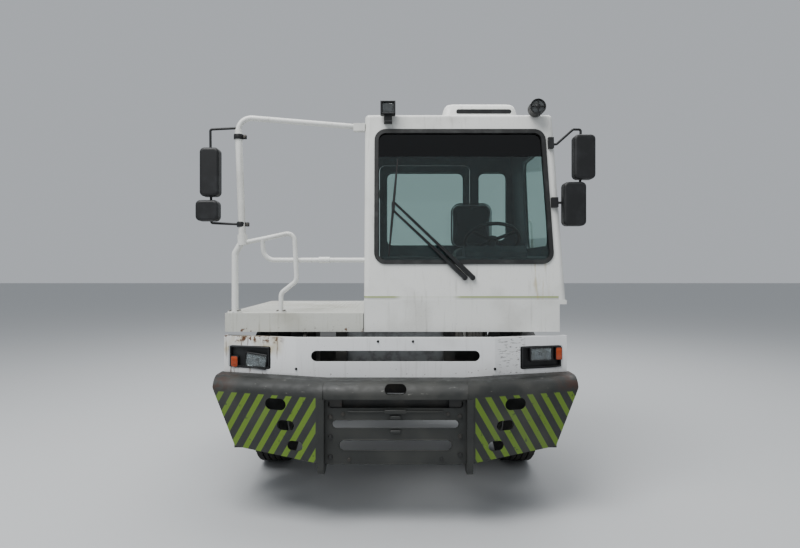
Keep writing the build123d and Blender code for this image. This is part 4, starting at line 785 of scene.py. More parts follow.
# %% Pads
def pad(name, low, high, radius, edge):
    """A padded slab in x and z: rounded layers, fine remesh, cloth pressure, capped movement."""
    low, high = np.array(low), np.array(high)
    size, middle = high - low, (low + high) / 2
    layers = [(edge, 0), (0.3 * edge, 0.3 * edge), (0, edge), (0, size[1] - edge),
              (0.3 * edge, size[1] - 0.3 * edge), (edge, size[1])]
    slab = plate(size[0], size[2], radius, layers, 8)
    made = piece(name, [put_at(slab, (middle[0], low[1], middle[2]))], "seat_cloth", smooth_deg=60)
    bpy.context.view_layer.objects.active = made
    remesh = made.modifiers.new("remesh", "REMESH")
    remesh.mode, remesh.voxel_size, remesh.use_smooth_shade = "VOXEL", 0.008, True
    bpy.context.view_layer.update()
    graph = bpy.context.evaluated_depsgraph_get()
    fine = bpy.data.meshes.new_from_object(made.evaluated_get(graph))
    made.modifiers.clear()
    made.data = fine
    blow_up(made)
    smooth = made.modifiers.new("smooth", "SUBSURF")
    smooth.levels = smooth.render_levels = 1
    made.data.shade_smooth()
    return made


def blow_up(made, cap=0.022):
    """Cloth with pressure 4 and no gravity for 20 frames; each point keeps at most cap of its move."""
    start = np.empty(len(made.data.vertices) * 3)
    made.data.vertices.foreach_get("co", start)
    cloth = made.modifiers.new("cloth", "CLOTH")
    cloth.settings.use_pressure = True
    cloth.settings.uniform_pressure_force = 4.0
    cloth.settings.effector_weights.gravity = 0.0
    for number in range(1, 21):
        bpy.context.scene.frame_set(number)
    graph = bpy.context.evaluated_depsgraph_get()
    blown = made.evaluated_get(graph).to_mesh()
    end = np.empty(len(blown.vertices) * 3)
    blown.vertices.foreach_get("co", end)
    made.modifiers.clear()
    move = (end - start).reshape(-1, 3)
    length = np.linalg.norm(move, axis=1)[:, None]
    move *= np.minimum(1, cap / np.maximum(length, 1e-9))
    made.data.vertices.foreach_set("co", (start.reshape(-1, 3) + move).ravel())
    made.data.update()
    bpy.context.scene.frame_set(1)
    print(made.name, "moved up to", round(float(length.max()) * 1000, 1), "mm")


SEAT_CUSHION = ((0.508, -1.512, 1.757), (0.902, -1.100, 1.838))
SEAT_BACK = ((0.512, -1.170, 1.862), (0.892, -1.092, 2.288))
SEAT_BACK_RADIUS = 0.085
flat = pad("seat_cushion", *SEAT_CUSHION, 0.036, 0.03)
rest = pad("seat_back", *SEAT_BACK, SEAT_BACK_RADIUS, 0.03)
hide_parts("seat_cushions")
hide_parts("seat_cushions")

# %% [markdown]
# ## Seat piping
# A welt cord is sewn round both edges of the back pad. It is a tube along the pad's outline,
# pressed a little into the cloth. A texture line would not catch the light, so it is real geometry.

# %% Piping
def outline(width, height, radius, steps=8):
    """The closed round-cornered outline that plate() uses, as points in x and z."""
    sign_x, sign_z, turn = corner_arcs(steps)
    x = sign_x * (width / 2 - radius) + radius * np.cos(turn)
    z = sign_z * (height / 2 - radius) + radius * np.sin(turn)
    path = np.stack([x, 0 * x, z], 1)
    return np.vstack([path, path[:1]])


WELT_INSET = 0.009
low, high = np.array(SEAT_BACK)
middle = (low + high) / 2
ring = outline(high[0] - low[0] - 2 * WELT_INSET, high[2] - low[2] - 2 * WELT_INSET, SEAT_BACK_RADIUS - WELT_INSET)
welts = [put_at(tube(ring, 0.004, 8), (middle[0], y, middle[2])) for y in (low[1] + 0.006, high[1] - 0.006)]
piece("seat_welts", welts, "seat_cloth")

# %% [markdown]
# ## Roof ventilator
# The moulded hood on the roof draws air in through a long slot in its front. Its sides lean in
# like every lid that has to leave its mould. It is a stack of round-cornered outlines that shrink
# upwards. A black plate set into the slot's mouth is painted shade for the dark inside of the intake,
# and 17 upright fins are set into the front.

# %% Roof ventilator
def loft(rows, steps=8):
    """Round-cornered outlines in x and y stacked by height: rows of (x low, x high, y low, y high, r, z)."""
    sign_x, sign_y, turn = corner_arcs(steps)
    grid = []
    for x0, x1, y0, y1, r, z in rows:
        x = (x0 + x1) / 2 + sign_x * ((x1 - x0) / 2 - r) + r * np.cos(turn)
        y = (y0 + y1) / 2 + sign_y * ((y1 - y0) / 2 - r) + r * np.sin(turn)
        grid.append(np.stack([x, y, np.full_like(x, z)], -1))
    return capped(np.array(grid))


HOOD = (0.362, 1.028, -1.798, -1.102)
hood_rows = []
for height, draw_in, radius in (
    (2.8203, 0, 0.06), (2.845, 0, 0.06), (2.85, 0.006, 0.06), (2.90, 0.016, 0.06), (2.985, 0.034, 0.06),
    (3.012, 0.044, 0.058), (3.030, 0.062, 0.05), (3.038, 0.085, 0.04), (3.0395, 0.11, 0.03),
):
    hood_rows.append((HOOD[0] + draw_in, HOOD[1] - draw_in, HOOD[2] + draw_in, HOOD[3] - draw_in, radius, height))
hood = piece("roof_ventilator_hood", [loft(hood_rows)], "white_paint", smooth_deg=50)
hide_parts("roof_unit")
SLOT_MIDDLE, SLOT_Z = 0.7225, 2.963
lip = plate(0.470, 0.056, 0.028, [(0, 0.03), (0, -0.004), (0.006, -0.006), (0.010, -0.003), (0.010, 0.02)], 8)
# Black plate in the slot's mouth: painted shade standing in for the shade inside the intake.
slot_shade_plate = plate(0.452, 0.038, 0.019, [(0, 0.02), (0, -0.0035)], 8)
face_y = -1.798 + 0.030
piece("ventilator_slot_lip", [put_at(lip, (SLOT_MIDDLE, face_y, SLOT_Z))], "white_paint")
slot_shade_and_fins = [put_at(slot_shade_plate, (SLOT_MIDDLE, face_y - 0.001, SLOT_Z))]
for x in np.linspace(-0.20, 0.20, 17):
    slot_shade_and_fins.append(put_at(plate(0.003, 0.036, 0.001, [(0, 0.0), (0, -0.0055)], 2), (SLOT_MIDDLE + x, face_y, SLOT_Z)))
piece("ventilator_slot", slot_shade_and_fins, "black_plastic")

# %% [markdown]
# ## Work lamps
# Two black work lamps look forward from the roof's edge: a square one with a ribbed glass and a
# round one with a domed glass and a cross of ribs. The frame holds their solids. The glasses, the
# ribs and the black rims are surfaces set just in front of them.

# %% Lamp glass
def ribbed(width, height, ribs, depth, steps=6):
    """A flat glass with upright ribs: y = -depth x |sin| of the distance across, edge at y = 0."""
    x = np.linspace(-width / 2, width / 2, ribs * steps + 1)
    z = np.linspace(-height / 2, height / 2, 7)
    grid_x, grid_z = np.meshgrid(x, z)
    fade = np.clip(8 * (1 - np.abs(2 * grid_z / height)), 0, 1) * np.clip(
        8 * (1 - np.abs(2 * grid_x / width)), 0, 1)
    grid_y = -(0.002 + depth * np.abs(np.sin(np.pi * ribs * (grid_x / width + 0.5)))) * fade
    front = np.stack([grid_x, grid_y, grid_z], -1)
    back = front * (1, 0, 1) + (0, 0.002, 0)
    return closed_skin(front, back)


def closed_skin(front, back):
    """Two sheets of the same grid joined round their edge into one closed skin."""
    rows, columns = front.shape[:2]
    points = np.vstack([front.reshape(-1, 3), back.reshape(-1, 3)])
    index = np.arange(rows * columns).reshape(rows, columns)
    loop = np.concatenate([index[0, :-1], index[:-1, -1], index[-1, :0:-1], index[:0:-1, 0]])
    following = np.roll(loop, -1)
    count = rows * columns
    face = np.stack([index[:-1, :-1], index[:-1, 1:], index[1:, 1:], index[1:, :-1]], -1).reshape(-1, 4)
    rim = np.stack([loop, loop + count, following + count, following], -1)
    return points, np.vstack([face, face[:, ::-1] + count, rim])


def bowl(width, height, depth):
    """A reflector: y = depth x (1 - 0.55 u squared - 0.45 v squared + facets), fading to 0 at the rim."""
    u = np.linspace(-1, 1, 25)
    grid_u, grid_v = np.meshgrid(u, u)
    facet = 0.06 * np.sign(np.sin(grid_u * 14)) * np.sign(np.sin(grid_v * 9))
    y = depth * np.clip(1 - 0.55 * grid_u**2 - 0.45 * grid_v**2 + facet, 0, 1) * (
        np.clip(12 * (1 - np.maximum(np.abs(grid_u), np.abs(grid_v))), 0, 1))
    front = np.stack([grid_u * width / 2, y, grid_v * height / 2], -1)
    return closed_skin(front, front + (0, 0.002, 0))


square_z, square_x, square_y = 2.850, -0.055, -2.300
ROUND_LAMP = (1.030, -2.3205, 2.850)
ROUND_GLASS = (1.030, -2.3215, 2.850)
work_glass = [put_at(ribbed(0.088, 0.078, 9, 0.0022), (square_x, square_y - 0.0005, square_z))]
rim = plate(0.104, 0.094, 0.010, [
    (0, 0.004), (0, -0.010), (0.003, -0.012), (0.008, -0.011), (0.009, 0.0), (0.009, 0.003)], 5)
can = lathe([(0, 0.006), (0.0565, 0.006), (0.058, -0.002), (0.058, -0.010), (0.055, -0.0125), (0.0505, -0.011),
             (0.0495, -0.001), (0, -0.001)], 40)
bars = [put_at(plate(0.094, 0.007, 0.002, [(0, 0.0), (0, -0.0105), (0.0015, -0.012)], 3), ROUND_LAMP, turn)
        for turn in (np.eye(3), axes_to((0, 1, 0), (1, 0, 0)))]
cap = lathe([(0, -0.012), (0.012, -0.011), (0.021, -0.007), (0.022, 0.0), (0, 0.0)], 24)
piece("work_lamp_rims", [put_at(rim, (square_x, square_y, square_z)), put_at(can, ROUND_LAMP), *bars,
                         put_at(cap, ROUND_LAMP)],
      "black_plastic")
dome = lathe([(0, -0.0075), (0.016, -0.007), (0.032, -0.0055), (0.0485, -0.002), (0.0485, 0.0), (0, 0.0)], 36)
piece("work_lamp_glass", [*work_glass, put_at(dome, ROUND_GLASS)], "clear_lens")

# %% [markdown]
# ## Wiper
# One long blade stands nearly upright and two arms carry it, so it keeps its angle as it sweeps.
# Each arm is a pressed channel that narrows towards the blade, with a fat spring cover at its
# pivot. The frame has thin bars there; here each part is a plate swept from pivot to blade.

# %% Wiper
FRONT_LEAN = math.atan2(0.140, 1.366)


def on_front(x, z, proud):
    """A place on the cab's leaning front face, proud of it by a distance."""
    y = CAB_FRONT_Y + math.tan(FRONT_LEAN) * (z - CAB_BASE_Z) - proud / math.cos(FRONT_LEAN)
    return np.array((x, y, z))


def flat_bar(start, end, widths, thick, out):
    """A bar from start to end with a width at each of its stations, along its length, all the same thickness."""
    start, end, out = np.array(start, float), np.array(end, float), np.array(out, float)
    along = end - start
    side = np.cross(along / np.linalg.norm(along), out)
    side /= np.linalg.norm(side)
    share = np.linspace(0, 1, len(widths))[:, None]
    spine = start + share * along
    half = np.array(widths)[:, None] / 2
    reach, top = side * half, side * half * 0.7
    return capped(np.stack([spine - reach, spine - top + out * thick, spine + top + out * thick, spine + reach], 1))


front_out = np.array((0, -math.cos(FRONT_LEAN), -math.sin(FRONT_LEAN)))
blade_low, blade_high = (-0.048, 1.770), (0.016, 2.484)
knuckles = [(-0.016, 2.100), (-0.016, 2.165)]
pivots = [(0.497, 1.616), (0.554, 1.616)]
wiper_parts, rubber_parts = [], []
for (x, z), (far_x, far_z) in zip(pivots, knuckles):
    cover = lathe([(0, 0), (0.020, 0), (0.020, 0.016), (0.015, 0.030), (0.008, 0.034), (0, 0.034)], 24)
    wiper_parts.append(put_at(cover, on_front(x, z, 0.0), axes_to(front_out)))
    near = on_front(x, z, 0.022)
    far = on_front(far_x, far_z, 0.024)
    third = near + 0.34 * (far - near)
    wiper_parts.append(flat_bar(near, third, [0.034, 0.036, 0.034, 0.030, 0.026], 0.014, front_out))
    wiper_parts.append(flat_bar(third, far, [0.024, 0.021, 0.019, 0.017], 0.007, front_out))
wiper_parts.append(flat_bar(
    on_front(*knuckles[0], 0.018), on_front(*knuckles[1], 0.018), [0.022, 0.026, 0.022], 0.014, front_out))
wiper_parts.append(flat_bar(
    on_front(*blade_low, 0.012), on_front(*blade_high, 0.012), [0.010, 0.017, 0.019, 0.017, 0.010], 0.010, front_out))
rubber_parts.append(flat_bar(
    on_front(*blade_high, 0.013), on_front(*blade_low, 0.013), [0.005, 0.007, 0.007, 0.005], -0.018, front_out))
wiper = piece("wiper_linkage", wiper_parts, "black_plastic")
blade = piece("wiper_rubber", rubber_parts, "seal_rubber")
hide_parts("wiper")
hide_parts("wiper")

# %% [markdown]
# ## Head lamps
# Each swept end of the front panel holds a black lamp tray with a rectangular head lamp and an
# amber signal lamp. The frame has a solid block there. The real one is an open tray, so the tray is
# made again as a frame with depth: a bright pressed bowl sits inside it behind a ribbed glass. The
# unit on the -X side has dropped in its mount, so it is turned by 6 degrees.

# %% Lamp trays
PANEL_FLAT_X = 0.690
SWEEP_BACK, SWEEP_OUT = 0.150, 0.540
PANEL_ANGLE = math.atan2(SWEEP_BACK, SWEEP_OUT)


def on_panel(side, x, y, z):
    """A place on a swept panel end: its middle is at x = 0, its face at y = 0; x grows outwards."""
    turn = panel_turn(side)
    return np.array((side * 1.035, -2.40417, 0)) + turn @ np.array((side * x, y, z))


def panel_turn(side, tilt=0.0):
    """The turn of a swept panel end about z, after a tilt about y."""
    a, b = side * PANEL_ANGLE, tilt
    about_z = np.array(((math.cos(a), -math.sin(a), 0), (math.sin(a), math.cos(a), 0), (0, 0, 1)))
    about_y = np.array(((math.cos(b), 0, math.sin(b)), (0, 1, 0), (-math.sin(b), 0, math.cos(b))))
    return about_z @ about_y


trays, bowls, glasses, ambers, bulbs = [], [], [], [], []
LAMP_DROP = math.radians(6)
for side, x, z, width, height, tilt in (
    (1, -0.0035, 1.074, 0.161, 0.084, 0.0), (-1, -0.052, 1.029, 0.156, 0.090, LAMP_DROP),
):
    tray = plate(0.312, 0.152, 0.008, [
        (0.0, 0.020), (0.0, -0.004), (0.004, -0.007), (0.010, -0.005), (0.013, 0.004), (0.013, 0.018)], 4)
    trays.append(put_at(tray, on_panel(side, 0, 0, 1.054), panel_turn(side)))
    turn = panel_turn(side, tilt)
    surround = plate(width + 0.020, height + 0.018, 0.014, [
        (0.0, 0.016), (0.0, -0.008), (0.003, -0.011), (0.008, -0.009), (0.010, 0.004), (0.010, 0.0155)], 5)
    trays.append(put_at(surround, on_panel(side, x, 0, z), turn))
    bowls.append(put_at(bowl(width - 0.006, height - 0.006, 0.013), on_panel(side, x, 0.0005, z), turn))
    bulbs.append(put_at(lathe([(0, -0.002), (0.009, -0.001), (0.011, 0.004), (0.011, 0.012), (0, 0.012)], 20),
                        on_panel(side, x, 0.0, z), turn))
    glasses.append(put_at(ribbed(width, height, 12, 0.0012), on_panel(side, x, -0.004, z), turn))
for side, x, z, width, height in ((1, 0.1355, 1.0735, 0.045, 0.085), (-1, 0.117, 1.018, 0.050, 0.072)):
    ambers.append(put_at(ribbed(width - 0.004, height - 0.004, 5, 0.003), on_panel(side, x, -0.006, z), panel_turn(side)))
    trays.append(put_at(plate(width + 0.006, height + 0.006, 0.006, [
        (0, 0.016), (0, -0.005), (0.003, -0.0065), (0.005, -0.003), (0.005, 0.0155)], 4), on_panel(side, x, 0, z), panel_turn(side)))
backs = []
for side in (1, -1):
    backs.append(put_at(plate(0.300, 0.126, 0.03, [(0.0, 0.020), (0.0, 0.05), (0.02, 0.078)], 5),
                        on_panel(side, 0, 0, 1.054), panel_turn(side)))
housing = piece("lamp_trays", trays + backs, "black_plastic")
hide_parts("head_lamps")
bright = piece("lamp_bowls", bowls, "chrome")
bulb = piece("lamp_bulb_caps", bulbs, "aluminium")
glass = piece("lamp_glasses", glasses, "clear_lens")
for made in (bright, bulb, glass):
    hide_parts("head_lamp_lenses")
piece("signal_lamp_ribs", ambers, "amber_plastic")

# %% [markdown]
# ## Panel lip
# The front panel is folded under along its whole lower edge, also below the lamps, where the frame
# stops it short. The fold is one strip: a small section of six points carried along the panel's
# bent line in plan.

# %% Panel lip
def carried(section, line, z):
    """A section of (out, up) points carried along a plan line of (x, y): closed round and capped."""
    line = np.array(line, float)
    along = np.gradient(line, axis=0)
    along /= np.linalg.norm(along, axis=1)[:, None]
    out = np.stack([along[:, 1], -along[:, 0]], 1)
    section = np.array(section, float)
    flat = line[:, None] + out[:, None] * section[None, :, :1]
    height = np.broadcast_to(z + section[None, :, 1:], (*flat.shape[:2], 1))
    return capped(np.concatenate([flat, height], -1))


def panel_line(low, high, count=24):
    """Points of the panel's face in plan between two x values: flat, then swept back past 0.69."""
    x = np.linspace(low, high, count)
    return np.stack([x, -2.500 + np.maximum(np.abs(x) - PANEL_FLAT_X, 0) * SWEEP_BACK / SWEEP_OUT], 1)


fold = [(-0.0005, 0.052), (0.0005, 0.046), (-0.006, 0.006), (-0.011, 0.0), (-0.020, 0.002), (-0.012, 0.050)]
lips = [carried(fold, panel_line(low, high), 0.909) for low, high in ((0.640, 1.229), (-1.229, -0.640))]
piece("panel_lip_ends", lips, "white_paint", material=BY_NODE["front_panel"])

# %% [markdown]
# ## Bolts and plate details of the bumper
# Hexagon bolts hold the recessed plate to the frame, three on each side and four smaller ones near
# its corners. A catch sits in the middle over the slots, and the two long slots have round rims.

# %% Bumper hardware
FRONT = (0, -1, 0)
PLATE_Y = -2.750
DETAIL_Y = -2.7495
studs = []
for x, heights in ((-0.4217, (0.7165, 0.587, 0.457)), (0.4185, (0.723, 0.593, 0.470))):
    for z in heights:
        studs.append(put_at(bolt(0.024, 0.014), (x, PLATE_Y, z), axes_to(FRONT)))
for x, z in ((-0.340, 0.735), (0.340, 0.735), (-0.300, 0.442), (0.300, 0.442)):
    studs.append(put_at(bolt(0.019, 0.010), (x, PLATE_Y, z), axes_to(FRONT)))
piece("bumper_bolts", studs, "dark_paint")
small = [put_at(bolt(0.013, 0.007), (x, y, z), axes_to(FRONT)) for x, y, z in (
    (-0.688, -2.500, 0.985), (-0.121, -2.500, 1.175), (0.121, -2.500, 1.175), (0.688, -2.500, 0.985))]
piece("panel_bolts", small, "black_plastic")


def slot_rim(half, low, high, wire=0.004, steps=14):
    """A round-ended loop of round wire that lies on the edge of a slot."""
    r = (high - low) / 2
    left = np.radians(np.linspace(90, 270, steps))
    right = np.radians(np.linspace(-90, 90, steps))
    x = np.concatenate([-half + r + r * np.cos(left), half - r + r * np.cos(right)])
    z = np.concatenate([r * np.sin(left), r * np.sin(right)]) + (low + high) / 2
    path = np.stack([x, np.full_like(x, DETAIL_Y), z], 1)
    return tube(np.vstack([path, path[:1]]), wire, 8)


rims = [slot_rim(0.411, 0.643, 0.700), slot_rim(0.367, 0.499, 0.569)]
ledge = plate(0.620, 0.012, 0.004, [(0, 0.0), (0, -0.010), (0.003, -0.013)], 4)
catch = plate(0.150, 0.026, 0.012, [(0, 0.0), (0, -0.016), (0.004, -0.020)], 6)
hook = plate(0.072, 0.022, 0.010, [(0, 0.0), (0, -0.014), (0.004, -0.018)], 6)
piece("bumper_plate_details", [*rims, put_at(ledge, (0, DETAIL_Y, 0.752)), put_at(catch, (0, DETAIL_Y, 0.752)),
                               put_at(hook, (0, DETAIL_Y, 0.715)), put_at(hook, (0, DETAIL_Y, 0.622))],
      "bumper_paint")

# %% [markdown]
# ## Mirrors
# The housings are moulded shells. Their glass faces the driver, so it shows from behind: a thin
# round-cornered plate of silvered glass in a rubber frame. Each head is held by a pair of
# clamps on its rod.

# %% Mirror glass and clamps
mirror_material, mirror_tree, mirror_shader = new_material("silvered_glass", Metallic=1.0, Base_Color=linear("#cfd4d6"))
mirror_tree.links.new(ranged(mirror_tree, blotches(mirror_tree, 60, (0.4, 0.7)), 0.03, 0.10), mirror_shader.inputs["Roughness"])
HEADS = [
    (-1.400, -1.260, 2.196, 2.546), (-1.430, -1.265, 2.020, 2.170),
    (1.275, 1.430, 2.320, 2.640), (1.200, 1.364, 1.985, 2.300),
]
faces, frames, clamps = [], [], []
for x0, x1, z0, z1 in HEADS:
    middle = ((x0 + x1) / 2, -2.310, (z0 + z1) / 2)
    width, height = x1 - x0, z1 - z0
    faces.append(put_at(plate(width - 0.026, height - 0.026, 0.026, [(0, -0.001), (0, 0.0025), (0.002, 0.0035)], 6), middle))
    frames.append(put_at(plate(width - 0.004, height - 0.004, 0.033, [
        (0, -0.002), (0, 0.003), (0.004, 0.006), (0.010, 0.005), (0.012, 0.002), (0.012, -0.002)], 6), middle))
    ribs = [(z0 + share * height) for share in (0.32, 0.68)]
    rod_x = 1.3425 if x0 > 0 else -1.3415
    for z in ribs:
        clamps.append(put_at(plate(0.034, 0.030, 0.006, [(0, 0.004), (0, 0.016), (0.004, 0.020)], 4), (rod_x, -2.312, z)))
piece("mirror_glass", faces, "chrome", material=mirror_material)
piece("mirror_frames", frames, "seal_rubber")
piece("mirror_clamps", clamps, "black_plastic")

# %% [markdown]
# ## Gantry clamps
# The mirror rods meet the gantry at two band clamps, each with a bolt through its ears. A band is a
# short turned ring, and the ears are two small plates.

# %% Gantry clamps
UPRIGHT = axes_to((0, 0, 1), (0, 1, 0))
bands, band_bolts = [], []
for x, z, radius in ((-1.1405, 2.635, 0.0325), (-1.122, 2.000, 0.0285)):
    ring = lathe([(radius - 0.003, -0.016), (radius, -0.019), (radius + 0.002, -0.012), (radius + 0.002, 0.012),
                  (radius, 0.019), (radius - 0.003, 0.016)], 32)
    bore = sheet(ring[0].reshape(6, 32, 3)[[0, 5]], wrap_columns=True)
    bands.append(put_at(joined([ring, bore]), (x, -2.300, z), UPRIGHT))
    ear = plate(0.030, 0.030, 0.004, [(0, -0.003), (0, 0.003)], 3)
    for shift in (-0.006, 0.006):
        bands.append(put_at(ear, (x + 0.044, -2.300 + shift, z)))
    band_bolts.append(put_at(bolt(0.016, 0.009), (x + 0.046, -2.309, z), axes_to(FRONT)))
piece("gantry_clamps", bands, "black_plastic")
piece("gantry_clamp_bolts", band_bolts, "steel")
foot = []
for x, y, ring_r in ((-1.166, -2.300, 0.041), (-0.836, -2.280, 0.032)):
    for angle in np.radians((45, 135, 225, 315)):
        spot = (x + ring_r * math.cos(angle), y + ring_r * math.sin(angle), 1.372 if x < -1 else 1.370)
        foot.append(put_at(bolt(0.013, 0.008), spot, UPRIGHT))
piece("post_foot_bolts", foot, "steel")

# %% [markdown]
# ## Grab rails and door handles
# A driver climbs in with one hand on a rail beside each door. A rail is a bent tube on two short
# legs with round feet. Each door has a lever handle with a key barrel on an oval plate. All of it
# is tubes, plates and lathed shapes, and what sits on a door rides on that door.

# %% Rails and handles
def soft_path(points, steps=8):
    """Corners of a path rounded: between the middles of its runs, each corner pulls a quadratic arc."""
    points = np.array(points, float)
    middles = (points[:-1] + points[1:]) / 2
    t = np.linspace(0, 1, steps)[:, None]
    arcs = [points[:1]]
    for index in range(1, len(points) - 1):
        start, corner, end = middles[index - 1], points[index], middles[index]
        near, far = corner + (start - corner) * min(1, 0.05 / np.linalg.norm(start - corner)), corner + (
            end - corner) * min(1, 0.05 / np.linalg.norm(end - corner))
        arcs.append((1 - t) ** 2 * near + 2 * t * (1 - t) * corner + t**2 * far)
    arcs.append(points[-1:])
    return np.vstack(arcs)


def rail_foot(spot, out):
    """The round foot of a rail: a turned disc whose axis is the way out."""
    disc = lathe([(0, 0), (0.026, 0), (0.026, 0.004), (0.020, 0.006), (0, 0.006)], 20)
    return put_at(disc, spot, axes_to(out))


def rail(root, out, low, high, stand_off=0.062, radius=0.012):
    """A grab rail on a wall: legs stand out from a root place, and a straight grip runs between them."""
    root, out = np.array(root, float), np.array(out, float)
    feet = [root + (0, 0, low), root + (0, 0, high)]
    path = [feet[0], feet[0] + out * stand_off, feet[1] + out * stand_off, feet[1]]
    parts = [tube(soft_path(path), radius, 14)]
    parts += [rail_foot(foot, out) for foot in feet]
    return joined(parts)


def door_side_x(z):
    """The outer face of the cab's door side at a height."""
    return DOOR_SIDE_X - DOOR_SIDE_LEAN * (z - CAB_BASE_Z)


rails = [rail((0.770, -0.800, 0), (0, 1, 0), 1.60, 2.25)]
low_z, high_z = 1.60, 2.12
SIDE_RAIL_Y = -1.160
RAIL_STAND_OFF = 0.062
lean = np.array((1, 0, DOOR_SIDE_LEAN))
side_path = [
    (door_side_x(z) + stand_off, SIDE_RAIL_Y, z)
    for z, stand_off in ((low_z, 0), (low_z, RAIL_STAND_OFF), (high_z, RAIL_STAND_OFF), (high_z, 0))
]
rails.append(tube(soft_path(side_path), 0.012, 14))
for place_z in (low_z, high_z):
    rails.append(rail_foot((door_side_x(place_z), SIDE_RAIL_Y, place_z), lean))
piece("grab_rails", rails, "white_paint")


def handle(middle, out, along):
    """A lever handle: an oval plate, a lathed boss with a key barrel, and a lever that curves back."""
    out, along = np.array(out, float), np.array(along, float)
    turn = axes_to(out)
    base = put_at(plate(0.050, 0.140, 0.024, [(0, 0), (0, 0.005), (0.004, 0.009)], 8), middle, turn)
    boss = put_at(lathe([(0, 0.006), (0.018, 0.008), (0.016, 0.034), (0.012, 0.040), (0, 0.040)], 24), middle, turn)
    start = np.array(middle) + out * 0.034
    path = [start, start + along * 0.04 + out * 0.006, start + along * 0.09 + out * 0.002, start + along * 0.125 - out * 0.008]
    barrel = put_at(lathe([(0, 0.008), (0.009, 0.008), (0.009, 0.013), (0.006, 0.014), (0, 0.013)], 16),
                    np.array(middle) + np.array((0, 0, -0.045)), turn)
    return joined([base, boss, tube(soft_path(path, 6), 0.009, 12), barrel])


door_x = door_side_x(1.80)
piece("side_door_handle", [handle((door_x - 0.001, -1.290, 1.80), lean / np.linalg.norm(lean), (0, -1, 0))],
      "black_plastic", "side_door")
piece("rear_door_handle", [handle((0.640, -0.801, 1.80), (0, 1, 0), (-1, 0, 0))],
      "black_plastic", "rear_door")

# %% [markdown]
# ## Window rubbers
# Each side and rear window sits in a black rubber profile. It is a round tube along the
# window's rounded outline, on the outside of the panel.

# %% Window rubbers
def window_rubber(x0, x1, z0, z1, radius, place_of):
    """A rubber profile along a round-cornered outline, each point laid on a surface by place_of(x, z)."""
    path = outline(x1 - x0, z1 - z0, radius, 6)
    path = path + ((x0 + x1) / 2, 0, (z0 + z1) / 2)
    laid = np.array([place_of(x, z) for x, _, z in path])
    return tube(laid, 0.009, 8)


rear_wall_windows = [window_rubber(0.81, 1.09, 1.95, 2.62, 0.06, lambda x, z: (x, -0.8045, z))]
rear_door_windows = [window_rubber(-0.09, 0.67, 1.90, 2.62, 0.06, lambda x, z: (x, -0.8045, z))]
left_windows = [window_rubber(-1.96, -1.12, 1.90, 2.62, 0.06, lambda y, z: (-0.2225, y, z))]
side_box = [list(corner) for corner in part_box("side_door_glass")]
door_windows = [window_rubber(side_box[0][1], side_box[1][1], side_box[0][2], side_box[1][2], 0.06,
                              lambda y, z: (door_side_x(z) - 0.0045, y, z))]
piece("window_rubbers", rear_wall_windows + left_windows, "seal_rubber")
piece("rear_door_rubber", rear_door_windows, "seal_rubber", "rear_door")
piece("side_door_rubber", door_windows, "seal_rubber", "side_door")

# %% [markdown]
# ## Chequer plate
# Walkways are rolled plate with raised lozenges that cross at right angles, so that boots grip.
# One lozenge is a few faces; whole rows of copies are worked out at once as arrays, which is quick
# and keeps every lozenge exactly alike.

# %% Chequer plate
LOZENGE_PITCH = 0.040


def lozenges(x0, x1, y0, y1, z, pitch=LOZENGE_PITCH):
    """Raised lozenges on a grid: each is a long six-point ridge, turned +45 or -45 degrees in turn."""
    half, wide, tall = 0.014, 0.0045, 0.0018
    local = np.array([(-half, 0, 0), (-0.4 * half, -wide, 0), (0.4 * half, -wide, 0), (half, 0, 0),
                      (0.4 * half, wide, 0), (-0.4 * half, wide, 0), (-0.45 * half, 0, tall), (0.45 * half, 0, tall)])
    faces = np.array([(0, 1, 6, 6), (1, 2, 7, 6), (2, 3, 7, 7), (3, 4, 7, 7), (4, 5, 6, 7), (5, 0, 6, 6),
                      (5, 4, 3, 0), (3, 2, 1, 0)])
    columns, rows = int((x1 - x0) / pitch), int((y1 - y0) / pitch)
    column, row = np.meshgrid(np.arange(columns), np.arange(rows), indexing="ij")
    column, row = column.ravel(), row.ravel()
    angle = np.where((column + row) % 2, 1, -1) * np.pi / 4
    cos, sin = np.cos(angle)[:, None], np.sin(angle)[:, None]
    x = x0 + (column[:, None] + 0.5) * (x1 - x0) / columns + cos * local[:, 0] - sin * local[:, 1]
    y = y0 + (row[:, None] + 0.5) * (y1 - y0) / rows + sin * local[:, 0] + cos * local[:, 1]
    points = np.stack([x, y, z + np.broadcast_to(local[:, 2], x.shape)], -1).reshape(-1, 3)
    copies = (np.arange(len(column)) * 8)[:, None, None] + faces[None]
    return points, copies.reshape(-1, 4)


def plate_piece(name, shapes, slot, body="chassis"):
    """As piece(), but its three-cornered faces are kept as triangles, straight from the arrays."""
    points, faces = joined(shapes)
    mesh = bpy.data.meshes.new(name)
    mesh.from_pydata(points.tolist(), [], [tuple(dict.fromkeys(face)) for face in faces.tolist()])
    return shown(name, mesh, slot, body)


plate_piece("walkway_lozenges", [
    lozenges(-1.205, -0.245, -2.260, -0.805, 1.3600), lozenges(-1.140, 0.990, -0.775, -0.350, 1.3000)],
    "grey_paint")

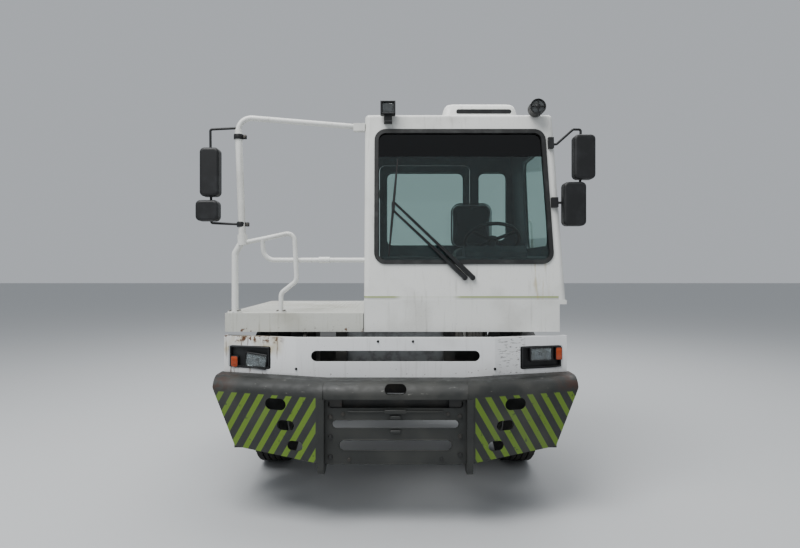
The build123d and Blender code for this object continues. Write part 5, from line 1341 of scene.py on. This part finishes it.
# %% [markdown]
# ## Fuel cap
# The tank's filler cap is a plain plastic lid with a step. It is round all the way, so one profile
# turned about its own line makes it.

# %% Fuel cap
tank_low, tank_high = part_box("fuel_tank")
cap_place = ((tank_low[0] + tank_high[0]) / 2 - 0.14, tank_high[1] - 0.16, tank_high[2])
cap = lathe([(0, -0.004), (0.048, -0.004), (0.048, 0.012), (0.044, 0.016), (0.044, 0.032), (0.038, 0.038), (0, 0.040)], 28)
piece("fuel_cap", [put_at(cap, cap_place, UPRIGHT)], "black_plastic")
print("fuel cap at", [round(float(v), 3) for v in cap_place])

# %% [markdown]
# ## Floor and light
# The yard was under an even grey sky, so the light is a pale sky all round and two very large soft
# lamps, one above the front and one above the rear. Large lamps make the soft shadow edges of an
# overcast day.

# %% Floor and light
floor_mesh = bpy.data.meshes.new("floor")
FLOOR_HALF = 60
corners = [(FLOOR_HALF * x, FLOOR_HALF * y, 0) for x, y in ((-1, -1), (1, -1), (1, 1), (-1, 1))]
floor_mesh.from_pydata(corners, [], [(0, 1, 2, 3)])
floor = bpy.data.objects.new("floor", floor_mesh)
bpy.context.collection.objects.link(floor)
floor_material, _, _ = new_material("studio_floor", Base_Color=linear("#bcbebf"), Roughness=0.75)
floor_mesh.materials.append(floor_material)

world = bpy.data.worlds.new("sky")
bpy.context.scene.world = world
world.use_nodes = True
world.node_tree.nodes["Background"].inputs["Color"].default_value = linear("#dfe4ea")
world.node_tree.nodes["Background"].inputs["Strength"].default_value = 0.62

# Lamps: (name, place, aimed at, size in metres, watts)
LAMPS = [
    ("overcast", (-2.6, -5.6, 8.6), (0, -1.5, 1.2), 5.5, 900),
    ("top", (1.5, 2.0, 8.0), (0, 0, 1.0), 8.0, 520),
]
for name, spot, target, size, watts in LAMPS:
    lamp_data = bpy.data.lights.new(name, "AREA")
    lamp_data.size = size
    lamp_data.energy = watts
    lamp = bpy.data.objects.new(name, lamp_data)
    lamp.location = spot
    lamp.rotation_euler = (Vector(target) - Vector(spot)).to_track_quat("-Z", "Y").to_euler()
    bpy.context.collection.objects.link(lamp)
print(len(LAMPS), "soft lamps")
